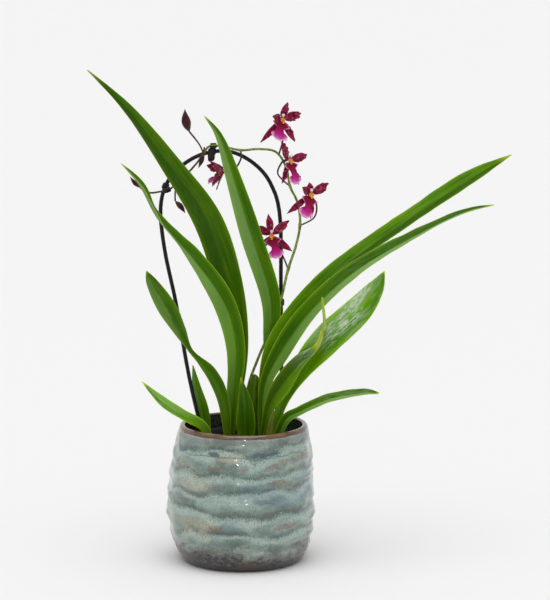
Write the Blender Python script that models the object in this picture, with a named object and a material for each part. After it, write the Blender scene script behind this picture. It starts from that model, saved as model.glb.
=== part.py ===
"""A potted Cambria-type orchid: cover pot, growing pot, bark, leaves, flower spike and wire support.

The frame has its origin at the centre of the pot's base, +Z up, and -Y towards the viewer.
Lengths in this script are millimetres; MM turns them into Blender's metres when a mesh is made.
Plant points are (x, y, height above the bark), so the plant stands on the bark of any pot.
"""

import math

import bmesh
import bpy
from mathutils import Matrix, Vector

MM = 0.001
GAP = 0.3  # between two pieces that touch

# Cover pot, outside
POT_HEIGHT = 139.5
POT_RIM_RADIUS = 64.2
POT_NECK_RADIUS = 72.4
POT_BELLY_RADIUS = 75.4
POT_FOOT_RADIUS = 57.0
POT_WALL = 5.0
POT_FLOOR = 7.0
POT_SIDES = 40
FOOT_EDGE = 2.0  # how far the foot's edge is rounded in
FLOOR_CORNER = 4.0  # how high the inside corner goes above the floor
RIPPLE_DEPTH = 1.0
RIPPLE_PITCH = 17.5
RIPPLE_CREST = 62.0  # the height of one crest
RIM_ROUND_HEIGHT = 1.5
RIM_ROUND_WIDTH = 1.2
# Shares of the height, and at each one how far the outside has gone from one radius to the next
FOOT_TO_BELLY = ((0.0, 0.0), (0.09, 0.57), (0.22, 0.80), (0.46, 1.0))
NECK_SHARE = 0.70
SHOULDER_SHARE = 0.86
BAND_ROUNDING = 0.35  # 0 joins the radii with straight lines, 1 with full S-curves
RING_SHARES = (
    0.011, 0.044, 0.088, 0.147, 0.213, 0.272, 0.331, 0.397, 0.456, 0.522, 0.581, 0.647, 0.713,
    0.779, 0.838, 0.897, 0.956,
)

# Growing pot, which stands on the cover pot's floor
GROWING_WALL = 1.2
GROWING_SIDE_CLEARANCE = 3.0
GROWING_FOOT_CLEARANCE = 8.0
GROWING_BELOW_RIM = 14.5
GROWING_LIP = 2.0
GROWING_LIP_HEIGHT = 4.0
GROWING_SIDES = 36
DRAIN_RADIUS = 4.0
DRAIN_COUNT = 5
DRAIN_REACH = 0.6  # share of the floor's radius
CUT_PAST = 2.0  # how far a cutter runs past the face it opens

# Bark
BARK_BELOW_RIM = 21.5
BARK_EDGE_DROP = 3.0
BARK_EDGE_WIDTH = 5.0

# Support: a bent wire pushed into the bark, and the clips on it
WIRE_RADIUS = 2.0
WIRE_DEPTH = 62.0
WIRE_STEPS = 40
CLIP_WALL = 1.5
CLIP_LENGTH = 7.0
CLIP_END_STEPS = 6

# Plant. Its points fit a growing pot of the planted radius. In a wider or narrower one its feet move
# out or in, less and less up to the free height.
PLANTED_RADIUS = 56.2
FREE_HEIGHT = 100.0
LEAF_THICKNESS = 1.2
TEPAL_THICKNESS = 0.8
STEM_RADIUS = 1.25
PEDICEL_RADIUS = 0.9
COLUMN_RADIUS = 1.4
COLUMN_LENGTH = 6.0
STEM_FOOT_SCALE = 1.1  # the stem's radius at its foot, as a share of STEM_RADIUS
STEM_TAPER = 0.35
STEM_STEPS = 60
PEDICEL_STEPS = 12
PEDICEL_BACK = 4.0  # how far behind the flower's centre its stalk turns forward
BUD_PEDICEL_STEPS = 5
BUD_PEDICEL_SCALE = 0.9

# Flower, measured from its centre
DORSAL_SEPAL_LENGTH = 20.0
PETAL_LENGTH = 20.0
LATERAL_SEPAL_LENGTH = 27.0
LIP_LENGTH = 23.0
TEPAL_HALF_WIDTH = 3.6
LIP_HALF_WIDTH = 8.4

BARK_TOP = POT_HEIGHT - BARK_BELOW_RIM

# Leaf stations: x, y, height, half width, tilt. Tilt 0 faces the viewer and 90 faces up.
LEAVES = {
    "leaf_tall_left": (24, [
        (-13, -3, 0, 5, 0), (-8, -4, 48, 9, 0), (-4, -7, 105, 11.5, 0), (-13, -13, 165, 15.3, 0),
        (-33, -21, 228, 15.8, 5), (-69, -30, 284, 11, 10), (-110, -36, 339, 5.5, 20), (-149, -41, 378, 0.6, 30),
    ]),
    "leaf_arching_left": (26, [
        (-13, -9, 0, 5, 0), (-9, -11, 47, 7.5, 0), (-6, -15, 100, 10.5, 0), (-18, -24, 148, 12.2, 5),
        (-48, -36, 193, 10, 35), (-80, -47, 232, 7.3, 65), (-98, -54, 267, 6, 65), (-116, -60, 289, 0.6, 60),
    ]),
    "leaf_upright_centre": (24, [
        (26, 8, 0, 4.5, 0), (26.5, 8, 60, 5.5, 0), (28, 8, 106, 7.5, 0), (28.5, 4, 149, 10.8, 0),
        (9, -8, 214, 11.6, 0), (-9.5, -17, 275, 8, 5), (-22, -22, 312, 4, 10), (-36, -25, 332, 0.6, 10),
    ]),
    "leaf_long_right_upper": (20, [
        (22, 2, 0, 4.5, 0), (21, 1, 57, 5.5, 0), (33, 0, 103, 9, 0), (66, 6, 145, 11, 25),
        (106, 19, 181, 10.5, 45), (168, 33, 223, 10, 50), (228, 43, 262, 9.5, 45), (272, 49, 287, 0.6, 40),
    ]),
    "leaf_long_right_lower": (20, [
        (20, -3, 0, 4.5, 0), (22, -4, 56, 6, 0), (39, -6, 94, 10, 15), (69, -8, 136, 11.7, 40),
        (114, -10, 177, 10.8, 50), (167, -11, 209, 8.8, 65), (217, -11, 234, 5.5, 75), (250, -11, 243, 0.6, 60),
    ]),
    "leaf_broad_right": (18, [
        (26, -8, 0, 4, 0), (41.5, -13, 47, 6, 0), (59, -20, 79, 10.8, 10), (84, -28, 109, 16, 20),
        (115.5, -40, 141, 15, 20), (132.5, -48, 165, 9.5, 20), (140, -54, 183, 0.6, 20),
    ]),
    "leaf_folded_right": (34, [
        (19, -14, 0, 4, 0), (27, -18, 40, 7.5, 0), (41, -22, 64, 11.5, 10), (58, -27, 86, 9.5, 30),
        (74, -31, 100, 6, 55), (81, -34, 119, 3, 70), (79, -35, 154, 0.6, 80),
    ]),
    "leaf_low_right": (20, [
        (33, -14, 0, 4, 0), (43, -21, 27, 5.5, 20), (58, -29, 38, 5.8, 40), (86, -41, 52.5, 6.5, 50),
        (118, -55, 62, 4.8, 50), (135, -60, 62.5, 1.2, 50),
    ]),
    "leaf_short_left": (22, [
        (-14, -15, 0, 4, 0), (-18, -17, 45, 6.5, 0), (-31, -20, 74, 7, 30), (-51, -23, 96.5, 4.8, 60),
        (-64, -24, 120, 8.3, 40), (-76.5, -24, 145, 10, 15), (-89, -25, 168, 6, 5), (-94, -25, 179, 0.6, 0),
    ]),
    "leaf_low_left": (20, [
        (-30, -12, 0, 3.5, 0), (-39, -19, 21, 5, 15), (-59, -32, 35, 6, 35), (-80, -44, 51.5, 6, 40),
        (-98, -53, 73, 0.6, 40),
    ]),
    "leaf_small_back_left": (22, [
        (-35, 13, 0, 4.5, 0), (-40, 13, 30, 7, 0), (-46, 14, 54, 5, 0), (-50, 16, 77, 0.6, 0),
    ]),
    "leaf_small_front": (26, [
        (4, -24, 0, 6.5, 0), (4, -26, 26, 10.5, 0), (3, -30, 50, 7.6, 0), (-1, -35, 74, 0.6, 0),
    ]),
    "dry_sheath": (30, [
        (26, -26, 0, 3.5, 0), (28, -27, 20, 3, 0), (32, -29, 41, 0.6, 10),
    ]),
}
LEAF_STEPS = 15
SHEATH_STEPS = 6

# The pseudobulb: its foot, how far its tip leans from it, its half width and half depth, and its height
BULB_CENTRE = (9.0, 4.5)
BULB_LEAN = (5.0, 2.5)
BULB_HALF_WIDTH = 6.5
BULB_HALF_DEPTH = 5.0
BULB_HEIGHT = 70.0
BULB_RINGS = 9
BULB_END_SHARE = 0.75  # the radius at its two ends, as a share of that at its middle
BULB_TIP_SHARE = 0.12
BULB_SIDES = 14

# Routes: the wire's two feet are where it enters the bark
WIRE_ROUTE = [
    (-38, 4, 0), (-53, 4, 66), (-66, 4, 142), (-77, 4, 196), (-81, 4, 237), (-75, 4, 263), (-60, 5, 281),
    (-38, 7, 293), (-12, 9, 295), (12, 10, 283), (29, 11, 262), (38, 12, 228), (39, 12, 150), (40, 12, 0),
]
STEM_ROUTE = [
    (6, 14, 0), (5, 13, 50), (15, 13, 83), (31, 13, 120), (39, 7, 146), (46, 3, 177), (54, 1, 202),
    (58, 0, 225), (55, -1, 246), (48, 0, 261), (44, 3, 280), (34, 4, 295), (17, 4, 298), (-1, 3, 297),
    (-20, 2, 301), (-32, 1, 301), (-38, 0, 294), (-45, -1, 284), (-58, -1, 270), (-71, -2, 259),
    (-82, -2, 256), (-92, 0, 255), (-101, 0, 260),
]

# Flowers: centre, yaw (0 faces the viewer, + turns to +X), pitch, roll, and the route of the pedicel
FLOWERS = [
    ("flower_top", (39, -1, 328), 25, 0, -12, [(37, 4, 293), (41, 6, 308), (40, 4, 322)]),
    ("flower_upper", (46, -8, 288), 45, 5, 10, [(48, 0, 261), (36, 2, 273), (39, -1, 284)]),
    ("flower_right", (68, -10, 254), 15, 10, -10, [(58, 0, 222), (72, 1, 230), (74, -3, 244)]),
    ("flower_lower", (29, 3, 212), 8, 0, 10, [(46, 3, 178), (42, 6, 188), (35, 10, 202)]),
    ("flower_left", (-19, 3, 275), -105, 10, 10, [(-1, 3, 297), (-1, 5, 288), (-7, 6, 278)]),
]

# The tepals of a flower: name, angle round the flower, length, bend forward, place along the column
TEPALS = [
    ("dorsal_sepal", 92, DORSAL_SEPAL_LENGTH, 8, -1.0),
    ("left_petal", 157, PETAL_LENGTH, 22, 0.4),
    ("right_petal", 23, PETAL_LENGTH, 22, 0.4),
    ("left_sepal", 225, LATERAL_SEPAL_LENGTH, -4, -1.0),
    ("right_sepal", 315, LATERAL_SEPAL_LENGTH, -4, -1.0),
]
# Share of the length, and the share of the half width there
TEPAL_SHAPE = [(0.0, 0.28), (0.2, 0.75), (0.45, 1.0), (0.7, 0.85), (0.9, 0.45), (1.0, 0.1)]
LIP_SHAPE = [(0.0, 0.16), (0.16, 0.75), (0.32, 0.80), (0.52, 0.34), (0.72, 0.92), (0.9, 0.85), (1.0, 0.3)]
LIP_ANGLE = 268
LIP_BEND = 24
LIP_OFFSET = 2.2
TEPAL_FOLD = 14
LIP_FOLD = 8
BEND_EASE = 0.6  # how much of its bend a tepal has lost at its tip
TEPAL_START = COLUMN_RADIUS + GAP + TEPAL_THICKNESS

# Buds: pedicel route, then the bud's tip and half width
BUDS = [
    ("bud_upper", [(-38, 0, 294), (-42, 0, 303), (-52, 0, 316)], (-56, 0, 338), 4.6),
    ("bud_at_clip", [(-38, 0, 294), (-37, -4, 300), (-37, -7, 299), (-38, -7.6, 296)], (-43, -9, 281), 1.9),
    ("bud_lower", [(-64, -1.5, 265), (-66, -4, 256), (-66, -5, 247)], (-56, -7, 235), 2.7),
    ("bud_tip", [(-96, 0, 256), (-99, 0, 258.5), (-101, 0, 260)], (-111, 0, 271), 2.2),
]
BUD_SHAPE = [(0.0, 0.30), (0.12, 0.62), (0.3, 0.93), (0.5, 1.0), (0.7, 0.78), (0.88, 0.38), (1.0, 0.08)]
BUD_CLEARANCE = 0.5  # between a bud and its pedicel

# Clips: the points of the wire and of the stem that each one holds together
CLIPS = [
    ("clip_top", (-29, 7, 294), (-28, 1, 301)),
    ("clip_left", (-76, 4, 261), (-74, -2, 258)),
    ("clip_right", (39, 12, 142), (38.5, 7.5, 142)),
]


# ---------------------------------------------------------------- helpers


def spread(height):
    """How much the growing pot moves the plant out or in at a height above the bark."""
    at_bark = growing_rim_radius() / PLANTED_RADIUS
    free = min(1.0, max(0.0, height / FREE_HEIGHT))
    return at_bark + (1.0 - at_bark) * free


def plant_point(point):
    """A plant point, given above the bark, in the pot's frame."""
    x, y, height = point[:3]
    scale = spread(height)
    return Vector((x * scale, y * scale, BARK_TOP + height))


def material(name, colour, roughness, metallic=0.0):
    made = bpy.data.materials.get(name)
    if made is None:
        made = bpy.data.materials.new(name)
        made.use_nodes = True
        shader = made.node_tree.nodes["Principled BSDF"]
        shader.inputs["Base Color"].default_value = (*colour, 1.0)
        shader.inputs["Roughness"].default_value = roughness
        shader.inputs["Metallic"].default_value = metallic
    return made


def add_object(name, mesh, surface, smooth_angle=40.0):
    if surface is not None:
        mesh.materials.clear()
        mesh.materials.append(surface)
    mesh.shade_smooth()
    mesh.set_sharp_from_angle(angle=math.radians(smooth_angle))
    made = bpy.data.objects.new(name, mesh)
    bpy.context.scene.collection.objects.link(made)
    return made


def mesh_from(name, points, faces):
    """A mesh of these millimetre points, with its faces turned to point out."""
    mesh = bpy.data.meshes.new(name)
    mesh.from_pydata([tuple(Vector(point) * MM) for point in points], [], faces)
    work = bmesh.new()
    work.from_mesh(mesh)
    bmesh.ops.recalc_face_normals(work, faces=work.faces)
    work.to_mesh(mesh)
    work.free()
    return mesh


def smooth_row(rows, place):
    """The row of numbers at a place from 0 to 1 along a Catmull-Rom curve through the rows."""
    scaled = place * (len(rows) - 1)
    start = min(int(scaled), len(rows) - 2)
    t = scaled - start
    before = rows[max(start - 1, 0)]
    after = rows[min(start + 2, len(rows) - 1)]
    row = []
    for a, b, c, d in zip(before, rows[start], rows[start + 1], after):
        slope_b = (c - a) / 2
        slope_c = (d - b) / 2
        row.append(
            (2 * t**3 - 3 * t**2 + 1) * b + (t**3 - 2 * t**2 + t) * slope_b
            + (3 * t**2 - 2 * t**3) * c + (t**3 - t**2) * slope_c
        )
    return row


def smooth_rows(rows, steps):
    return [smooth_row(rows, step / steps) for step in range(steps + 1)]


def turned(name, profile, surface, sides):
    """A solid of revolution. The profile runs from the axis round the outside and back to the axis."""
    points = []
    rings = []
    for radius, height in profile:
        if radius == 0:
            rings.append([len(points)])
            points.append((0, 0, height))
            continue
        rings.append(list(range(len(points), len(points) + sides)))
        for side in range(sides):
            angle = 2 * math.pi * side / sides
            points.append((radius * math.cos(angle), radius * math.sin(angle), height))
    faces = []
    for low, high in zip(rings, rings[1:]):
        for side in range(sides):
            following = (side + 1) % sides
            if len(low) == 1:
                faces.append((low[0], high[following], high[side]))
            elif len(high) == 1:
                faces.append((low[side], low[following], high[0]))
            else:
                faces.append((low[side], low[following], high[following], high[side]))
    return add_object(name, mesh_from(name, points, faces), surface)


def tube(name, route, radii, surface, sides_quality=2):
    """A round tube with filled caps along the route; the radii are one number or one for each point."""
    curve = bpy.data.curves.new(name, "CURVE")
    curve.dimensions = "3D"
    curve.bevel_depth = MM
    curve.bevel_resolution = sides_quality
    curve.use_fill_caps = True
    spline = curve.splines.new("POLY")
    spline.points.add(len(route) - 1)
    for number, point in enumerate(route):
        spline.points[number].co = (*(Vector(point) * MM), 1.0)
        spline.points[number].radius = radii if isinstance(radii, (int, float)) else radii[number]
    guide = bpy.data.objects.new(name + "_guide", curve)
    mesh = bpy.data.meshes.new_from_object(guide)
    bpy.data.objects.remove(guide)
    bpy.data.curves.remove(curve)
    mesh.name = name
    # The caps come with points of their own, which are joined to the tube's.
    work = bmesh.new()
    work.from_mesh(mesh)
    bmesh.ops.remove_doubles(work, verts=work.verts, dist=0.00001)
    bmesh.ops.recalc_face_normals(work, faces=work.faces)
    work.to_mesh(mesh)
    work.free()
    return add_object(name, mesh, surface)


def combine(target, helper, operation):
    """Joins the helper to the target, or cuts it from the target, and keeps the result as a plain mesh."""
    change = target.modifiers.new(operation.lower(), "BOOLEAN")
    change.operation = operation
    change.object = helper
    graph = bpy.context.evaluated_depsgraph_get()
    result = bpy.data.meshes.new_from_object(target.evaluated_get(graph))
    target.modifiers.remove(change)
    target.data = result
    work = bmesh.new()
    work.from_mesh(result)
    bmesh.ops.triangulate(work, faces=work.faces)
    bmesh.ops.dissolve_degenerate(work, edges=work.edges, dist=0.000001)
    work.to_mesh(result)
    work.free()


def blade(name, stations, cross, thickness, surface):
    """A thin closed sheet through stations of (centre, side, out, half width, fold) with points across it."""
    points = []
    faces = []
    for centre, side, out, half_width, fold in stations:
        for across in cross:
            points.append(
                centre
                + side * (across * half_width * math.cos(fold))
                + out * (abs(across) * half_width * math.sin(fold))
            )
    width = len(cross)
    for row in range(len(stations) - 1):
        for column in range(width - 1):
            corner = row * width + column
            faces.append((corner, corner + 1, corner + width + 1, corner + width))
    made = add_object(name, mesh_from(name, points, faces), surface, 60.0)
    thicken = made.modifiers.new("thickness", "SOLIDIFY")
    thicken.thickness = thickness * MM
    thicken.offset = 0.0
    thicken.use_even_offset = False
    return made


# ---------------------------------------------------------------- pots and bark


def pot_radius(height):
    """The cover pot's outside radius at a height, with its thrown ripples."""
    outline = [
        (share, POT_FOOT_RADIUS + way * (POT_BELLY_RADIUS - POT_FOOT_RADIUS)) for share, way in FOOT_TO_BELLY
    ]
    outline.append((NECK_SHARE, POT_NECK_RADIUS))
    outline.append((SHOULDER_SHARE, (POT_RIM_RADIUS + POT_NECK_RADIUS) / 2))
    outline.append((1.0, POT_RIM_RADIUS))
    place = height / POT_HEIGHT
    for (low, low_radius), (high, high_radius) in zip(outline, outline[1:]):
        if place <= high:
            t = (place - low) / (high - low)
            way = t * t * (3 - 2 * t) * BAND_ROUNDING + t * (1 - BAND_ROUNDING)
            radius = low_radius + (high_radius - low_radius) * way
            break
    fade = math.sin(math.pi * place)
    return radius + RIPPLE_DEPTH * fade * math.cos(2 * math.pi * (height - RIPPLE_CREST) / RIPPLE_PITCH)


def build_cover_pot():
    heights = [share * POT_HEIGHT for share in RING_SHARES]
    rim = POT_RIM_RADIUS
    inner_rim = rim - POT_WALL
    profile = [(0, 0), (POT_FOOT_RADIUS - FOOT_EDGE, 0)]
    profile += [(pot_radius(height), height) for height in heights]
    profile += [
        (rim, POT_HEIGHT - RIM_ROUND_HEIGHT),
        (rim - RIM_ROUND_WIDTH, POT_HEIGHT),
        (inner_rim + RIM_ROUND_WIDTH, POT_HEIGHT),
        (inner_rim, POT_HEIGHT - RIM_ROUND_HEIGHT),
    ]
    inside = [height for height in reversed(heights[::3]) if height > POT_FLOOR + FLOOR_CORNER]
    profile += [(pot_radius(height) - POT_WALL - RIPPLE_DEPTH, height) for height in inside]
    profile += [(POT_FOOT_RADIUS - POT_WALL, POT_FLOOR), (0, POT_FLOOR)]
    glaze = material("celadon_glaze", (0.42, 0.55, 0.53), 0.22)
    turned("cover_pot", profile, glaze, POT_SIDES)


def growing_rim_radius():
    return POT_RIM_RADIUS - POT_WALL - GROWING_SIDE_CLEARANCE


def growing_radius(height):
    """The growing pot's outside radius at a height above the ground, without its lip."""
    base = POT_FOOT_RADIUS - POT_WALL - GROWING_FOOT_CLEARANCE
    top = growing_rim_radius() - GROWING_LIP
    low = POT_FLOOR + GAP
    high = POT_HEIGHT - GROWING_BELOW_RIM
    return base + (top - base) * (height - low) / (high - low)


def build_growing_pot():
    low = POT_FLOOR + GAP
    high = POT_HEIGHT - GROWING_BELOW_RIM
    lip_low = high - GROWING_LIP_HEIGHT
    floor_top = low + GROWING_WALL
    profile = [
        (0, low),
        (growing_radius(low), low),
        (growing_radius(lip_low), lip_low),
        (growing_rim_radius(), lip_low),
        (growing_rim_radius(), high),
        (growing_radius(high) - GROWING_WALL, high),
        (growing_radius(floor_top) - GROWING_WALL, floor_top),
        (0, floor_top),
    ]
    plastic = material("black_plastic", (0.02, 0.02, 0.022), 0.45)
    pot = turned("growing_pot", profile, plastic, GROWING_SIDES)
    for number in range(DRAIN_COUNT):
        angle = 2 * math.pi * number / DRAIN_COUNT
        reach = growing_radius(low) * DRAIN_REACH
        centre = Vector((reach * math.cos(angle), reach * math.sin(angle), 0))
        ends = [centre + Vector((0, 0, low - CUT_PAST)), centre + Vector((0, 0, floor_top + CUT_PAST))]
        cutter = tube("drain_cutter", ends, DRAIN_RADIUS, None)
        combine(pot, cutter, "DIFFERENCE")
        bpy.data.objects.remove(cutter)


def build_bark(wire_route):
    low = POT_FLOOR + GAP + GROWING_WALL + GAP

    def inside(height):
        return growing_radius(height) - GROWING_WALL - GAP

    edge = BARK_TOP - BARK_EDGE_DROP
    profile = [
        (0, low),
        (inside(low), low),
        (inside(edge), edge),
        (inside(edge) - BARK_EDGE_WIDTH, BARK_TOP),
        (0, BARK_TOP),
    ]
    bark = turned("bark_mix", profile, material("bark", (0.10, 0.055, 0.03), 0.95), GROWING_SIDES)
    for foot, above in ((wire_route[0], wire_route[1]), (wire_route[-1], wire_route[-2])):
        down = (foot - above).normalized()
        ends = [foot - down * 3 * CUT_PAST, foot + down * (WIRE_DEPTH + GAP)]
        cutter = tube("wire_socket_cutter", ends, WIRE_RADIUS + GAP, None)
        combine(bark, cutter, "DIFFERENCE")
        bpy.data.objects.remove(cutter)


# ---------------------------------------------------------------- leaves


def leaf_stations(rows, steps, fold_degrees):
    """Stations along a leaf that faces the viewer at tilt 0 and faces up at tilt 90."""
    rows = smooth_rows(rows, steps)
    centres = [plant_point(row) + Vector((0, 0, GAP + LEAF_THICKNESS / 2)) for row in rows]
    stations = []
    for number, row in enumerate(rows):
        centre = centres[number]
        along = (centres[min(number + 1, steps)] - centres[max(number - 1, 0)]).normalized()
        if number == 0:
            along = Vector((0, 0, 1))  # the foot is cut level, to stand on the bark
        towards = Vector((0, -1, 0))
        towards = (towards - along * towards.dot(along)).normalized()
        upward = Vector((0, 0, 1))
        upward = (upward - along * upward.dot(along)).normalized()
        tilt = math.radians(row[4])
        out = (towards * math.cos(tilt) + upward * math.sin(tilt)).normalized()
        out = (out - along * out.dot(along)).normalized()
        side = along.cross(out).normalized()
        # The fold is tight at the base and opens along the blade.
        share = number / steps
        fold = math.radians(fold_degrees) * (1.0 + 0.9 * max(0.0, 1 - share * 4))
        stations.append((centre, side, out, row[3] * spread(row[2]), fold))
    return stations


def build_leaves():
    green = material("leaf_green", (0.07, 0.21, 0.03), 0.38)
    dry = material("dry_sheath", (0.42, 0.30, 0.16), 0.8)
    for name, (fold, rows) in LEAVES.items():
        is_dry = name == "dry_sheath"
        steps = SHEATH_STEPS if is_dry else LEAF_STEPS
        stations = leaf_stations(rows, steps, fold)
        blade(name, stations, (-1, -0.5, 0, 0.5, 1), LEAF_THICKNESS, dry if is_dry else green)


def build_pseudobulb():
    rings = BULB_RINGS
    sides = BULB_SIDES
    points = []
    faces = []
    for ring in range(rings + 1):
        share = ring / rings
        height = GAP + share * BULB_HEIGHT
        swell = BULB_END_SHARE + (1 - BULB_END_SHARE) * math.sin(math.pi * share)
        size = max(BULB_TIP_SHARE, swell * (1 - share**5))
        for side in range(sides):
            angle = 2 * math.pi * side / sides
            x = BULB_CENTRE[0] + BULB_LEAN[0] * share + BULB_HALF_WIDTH * size * math.cos(angle)
            y = BULB_CENTRE[1] + BULB_LEAN[1] * share + BULB_HALF_DEPTH * size * math.sin(angle)
            points.append(plant_point((x, y, height)))
    for ring in range(rings):
        for side in range(sides):
            following = (side + 1) % sides
            low = ring * sides
            high = low + sides
            faces.append((low + side, low + following, high + following, high + side))
    faces.append(tuple(reversed(range(sides))))
    faces.append(tuple(rings * sides + side for side in range(sides)))
    green = material("pseudobulb_green", (0.16, 0.30, 0.07), 0.45)
    add_object("pseudobulb", mesh_from("pseudobulb", points, faces), green)


# ---------------------------------------------------------------- spike, buds, flowers


def flower_axes(yaw, pitch, roll):
    """The flower's right, up and forward directions."""
    turn = Matrix.Rotation(math.radians(yaw), 3, "Z")
    forward = turn @ Vector((0, -1, 0))
    right = turn @ Vector((1, 0, 0))
    forward = Matrix.Rotation(math.radians(-pitch), 3, right) @ forward
    up = forward.cross(right)
    if up.z < 0:
        up = -up
    spin = Matrix.Rotation(math.radians(roll), 3, forward)
    return spin @ right, spin @ up, forward


def pedicel(name, centre, forward, route, surface):
    """A flower's stalk from the stem, through its ovary, to the tip of its column."""
    back = plant_point(centre) - forward * PEDICEL_BACK
    path = [plant_point(point) for point in route]
    path.append(back)
    path.append(plant_point(centre))
    path.append(plant_point(centre) + forward * COLUMN_LENGTH)
    smooth = [Vector(row) for row in smooth_rows([tuple(point) for point in path], PEDICEL_STEPS)]
    radii = []
    for number in range(len(smooth)):
        share = number / (len(smooth) - 1)
        radii.append(PEDICEL_RADIUS + (COLUMN_RADIUS - PEDICEL_RADIUS) * max(0.0, share - 0.5) * 2)
    return tube(name, smooth, radii, surface, 1)


def build_spike(stem_route):
    """The stem with its pedicels and columns, which grew as one piece."""
    surface = material("stem_green", (0.22, 0.27, 0.10), 0.45)
    steps = len(stem_route)
    radii = [STEM_RADIUS * (STEM_FOOT_SCALE - STEM_TAPER * number / steps) for number in range(steps)]
    stem = tube("flower_spike", stem_route, radii, surface, 1)
    for name, centre, yaw, pitch, roll, route in FLOWERS:
        forward = flower_axes(yaw, pitch, roll)[2]
        branch = pedicel(name + "_pedicel", centre, forward, route, surface)
        combine(stem, branch, "UNION")
        bpy.data.objects.remove(branch)
    for name, route, _, _ in BUDS[:-1]:
        rows = smooth_rows([tuple(plant_point(point)) for point in route], BUD_PEDICEL_STEPS)
        branch = tube(name + "_pedicel", rows, PEDICEL_RADIUS * BUD_PEDICEL_SCALE, surface, 1)
        combine(stem, branch, "UNION")
        bpy.data.objects.remove(branch)


def build_buds():
    surface = material("bud_maroon", (0.10, 0.015, 0.03), 0.5)
    for name, route, tip, half_width in BUDS:
        base = plant_point(route[-1])
        tip = plant_point(tip)
        along = (tip - base).normalized()
        start = base + along * BUD_CLEARANCE
        length = (tip - start).length
        route_points = [start + along * length * share for share, _ in BUD_SHAPE]
        tube(name, route_points, [half_width * size for _, size in BUD_SHAPE], surface, 1)


def flower_blade(name, axes, centre, angle, length, bend, offset, shape, half_width, cross, fold, surface):
    """One tepal or lip: it leaves the column at an angle round the flower and bends forward."""
    right, up, forward = axes
    around = math.radians(angle)
    outward = right * math.cos(around) + up * math.sin(around)
    side = forward.cross(outward).normalized()
    stations = []
    for share, width in shape:
        lean = math.radians(bend) * (1 - BEND_EASE * share)
        reach = TEPAL_START + (length - TEPAL_START) * share
        place = centre + outward * reach * math.cos(lean) + forward * (offset + reach * math.sin(lean))
        stations.append((place, side, forward, half_width * width, math.radians(fold)))
    return blade(name, stations, cross, TEPAL_THICKNESS, surface)


def build_flowers():
    crimson = material("tepal_crimson", (0.19, 0.012, 0.035), 0.5)
    magenta = material("lip_magenta", (0.45, 0.04, 0.20), 0.5)
    for name, centre, yaw, pitch, roll, _ in FLOWERS:
        axes = flower_axes(yaw, pitch, roll)
        middle = plant_point(centre)
        for part, angle, length, bend, offset in TEPALS:
            flower_blade(
                f"{name}_{part}", axes, middle, angle, length, bend, offset,
                TEPAL_SHAPE, TEPAL_HALF_WIDTH, (-1, 0, 1), TEPAL_FOLD, crimson,
            )
        flower_blade(
            f"{name}_lip", axes, middle, LIP_ANGLE, LIP_LENGTH, LIP_BEND, LIP_OFFSET,
            LIP_SHAPE, LIP_HALF_WIDTH, (-1, -0.4, 0.4, 1), LIP_FOLD, magenta,
        )


# ---------------------------------------------------------------- support


def build_support(wire_route, stem_route):
    black = material("black_wire", (0.012, 0.012, 0.013), 0.35)
    first = (wire_route[0] - wire_route[1]).normalized()
    last = (wire_route[-1] - wire_route[-2]).normalized()
    route = [wire_route[0] + first * WIRE_DEPTH] + wire_route + [wire_route[-1] + last * WIRE_DEPTH]
    tube("support_arch", route, WIRE_RADIUS, black, 1)
    wire_cutter = tube("wire_cutter", route, WIRE_RADIUS + GAP, None, 1)
    stem_cutter = tube("stem_cutter", stem_route, STEM_RADIUS * STEM_FOOT_SCALE + GAP, None, 1)
    for name, on_wire, on_stem in CLIPS:
        near_wire = nearest(route, plant_point(on_wire))
        near_stem = nearest(stem_route, plant_point(on_stem))
        build_clip(name, near_wire, near_stem, (wire_cutter, stem_cutter))
    bpy.data.objects.remove(wire_cutter)
    bpy.data.objects.remove(stem_cutter)


def nearest(route, point):
    """The closest point on a route of straight steps, and the direction there."""
    best = None
    for start, end in zip(route, route[1:]):
        step = end - start
        share = max(0.0, min(1.0, (point - start).dot(step) / step.dot(step)))
        place = start + step * share
        distance = (place - point).length
        if best is None or distance < best[0]:
            best = (distance, place, step.normalized())
    return best[1], best[2]


def build_clip(name, near_wire, near_stem, cutters):
    """A clip that wraps the wire and the stem beside it, with a bore for each."""
    wire_place, along = near_wire
    stem_place = near_stem[0]
    between = stem_place - wire_place
    between = between - along * between.dot(along)
    across = between.normalized()
    normal = along.cross(across)
    wrap = GAP + CLIP_WALL
    half = WIRE_RADIUS + wrap
    stem_half = STEM_RADIUS * STEM_FOOT_SCALE + wrap
    outline = []
    for step in range(CLIP_END_STEPS + 1):
        angle = math.pi / 2 + math.pi * step / CLIP_END_STEPS
        outline.append((half * math.cos(angle), half * math.sin(angle)))
    for step in range(CLIP_END_STEPS + 1):
        angle = -math.pi / 2 + math.pi * step / CLIP_END_STEPS
        outline.append((between.length + stem_half * math.cos(angle), stem_half * math.sin(angle)))
    points = []
    for end in (-CLIP_LENGTH / 2, CLIP_LENGTH / 2):
        for reach, lift in outline:
            points.append(wire_place + along * end + across * reach + normal * lift)
    count = len(outline)
    faces = [tuple(range(count)), tuple(range(2 * count - 1, count - 1, -1))]
    for corner in range(count):
        following = (corner + 1) % count
        faces.append((corner, corner + count, following + count, following))
    black = material("black_clip", (0.015, 0.015, 0.016), 0.4)
    clip = add_object(name, mesh_from(name, points, faces), black, 50.0)
    for cutter in cutters:
        combine(clip, cutter, "DIFFERENCE")


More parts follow.
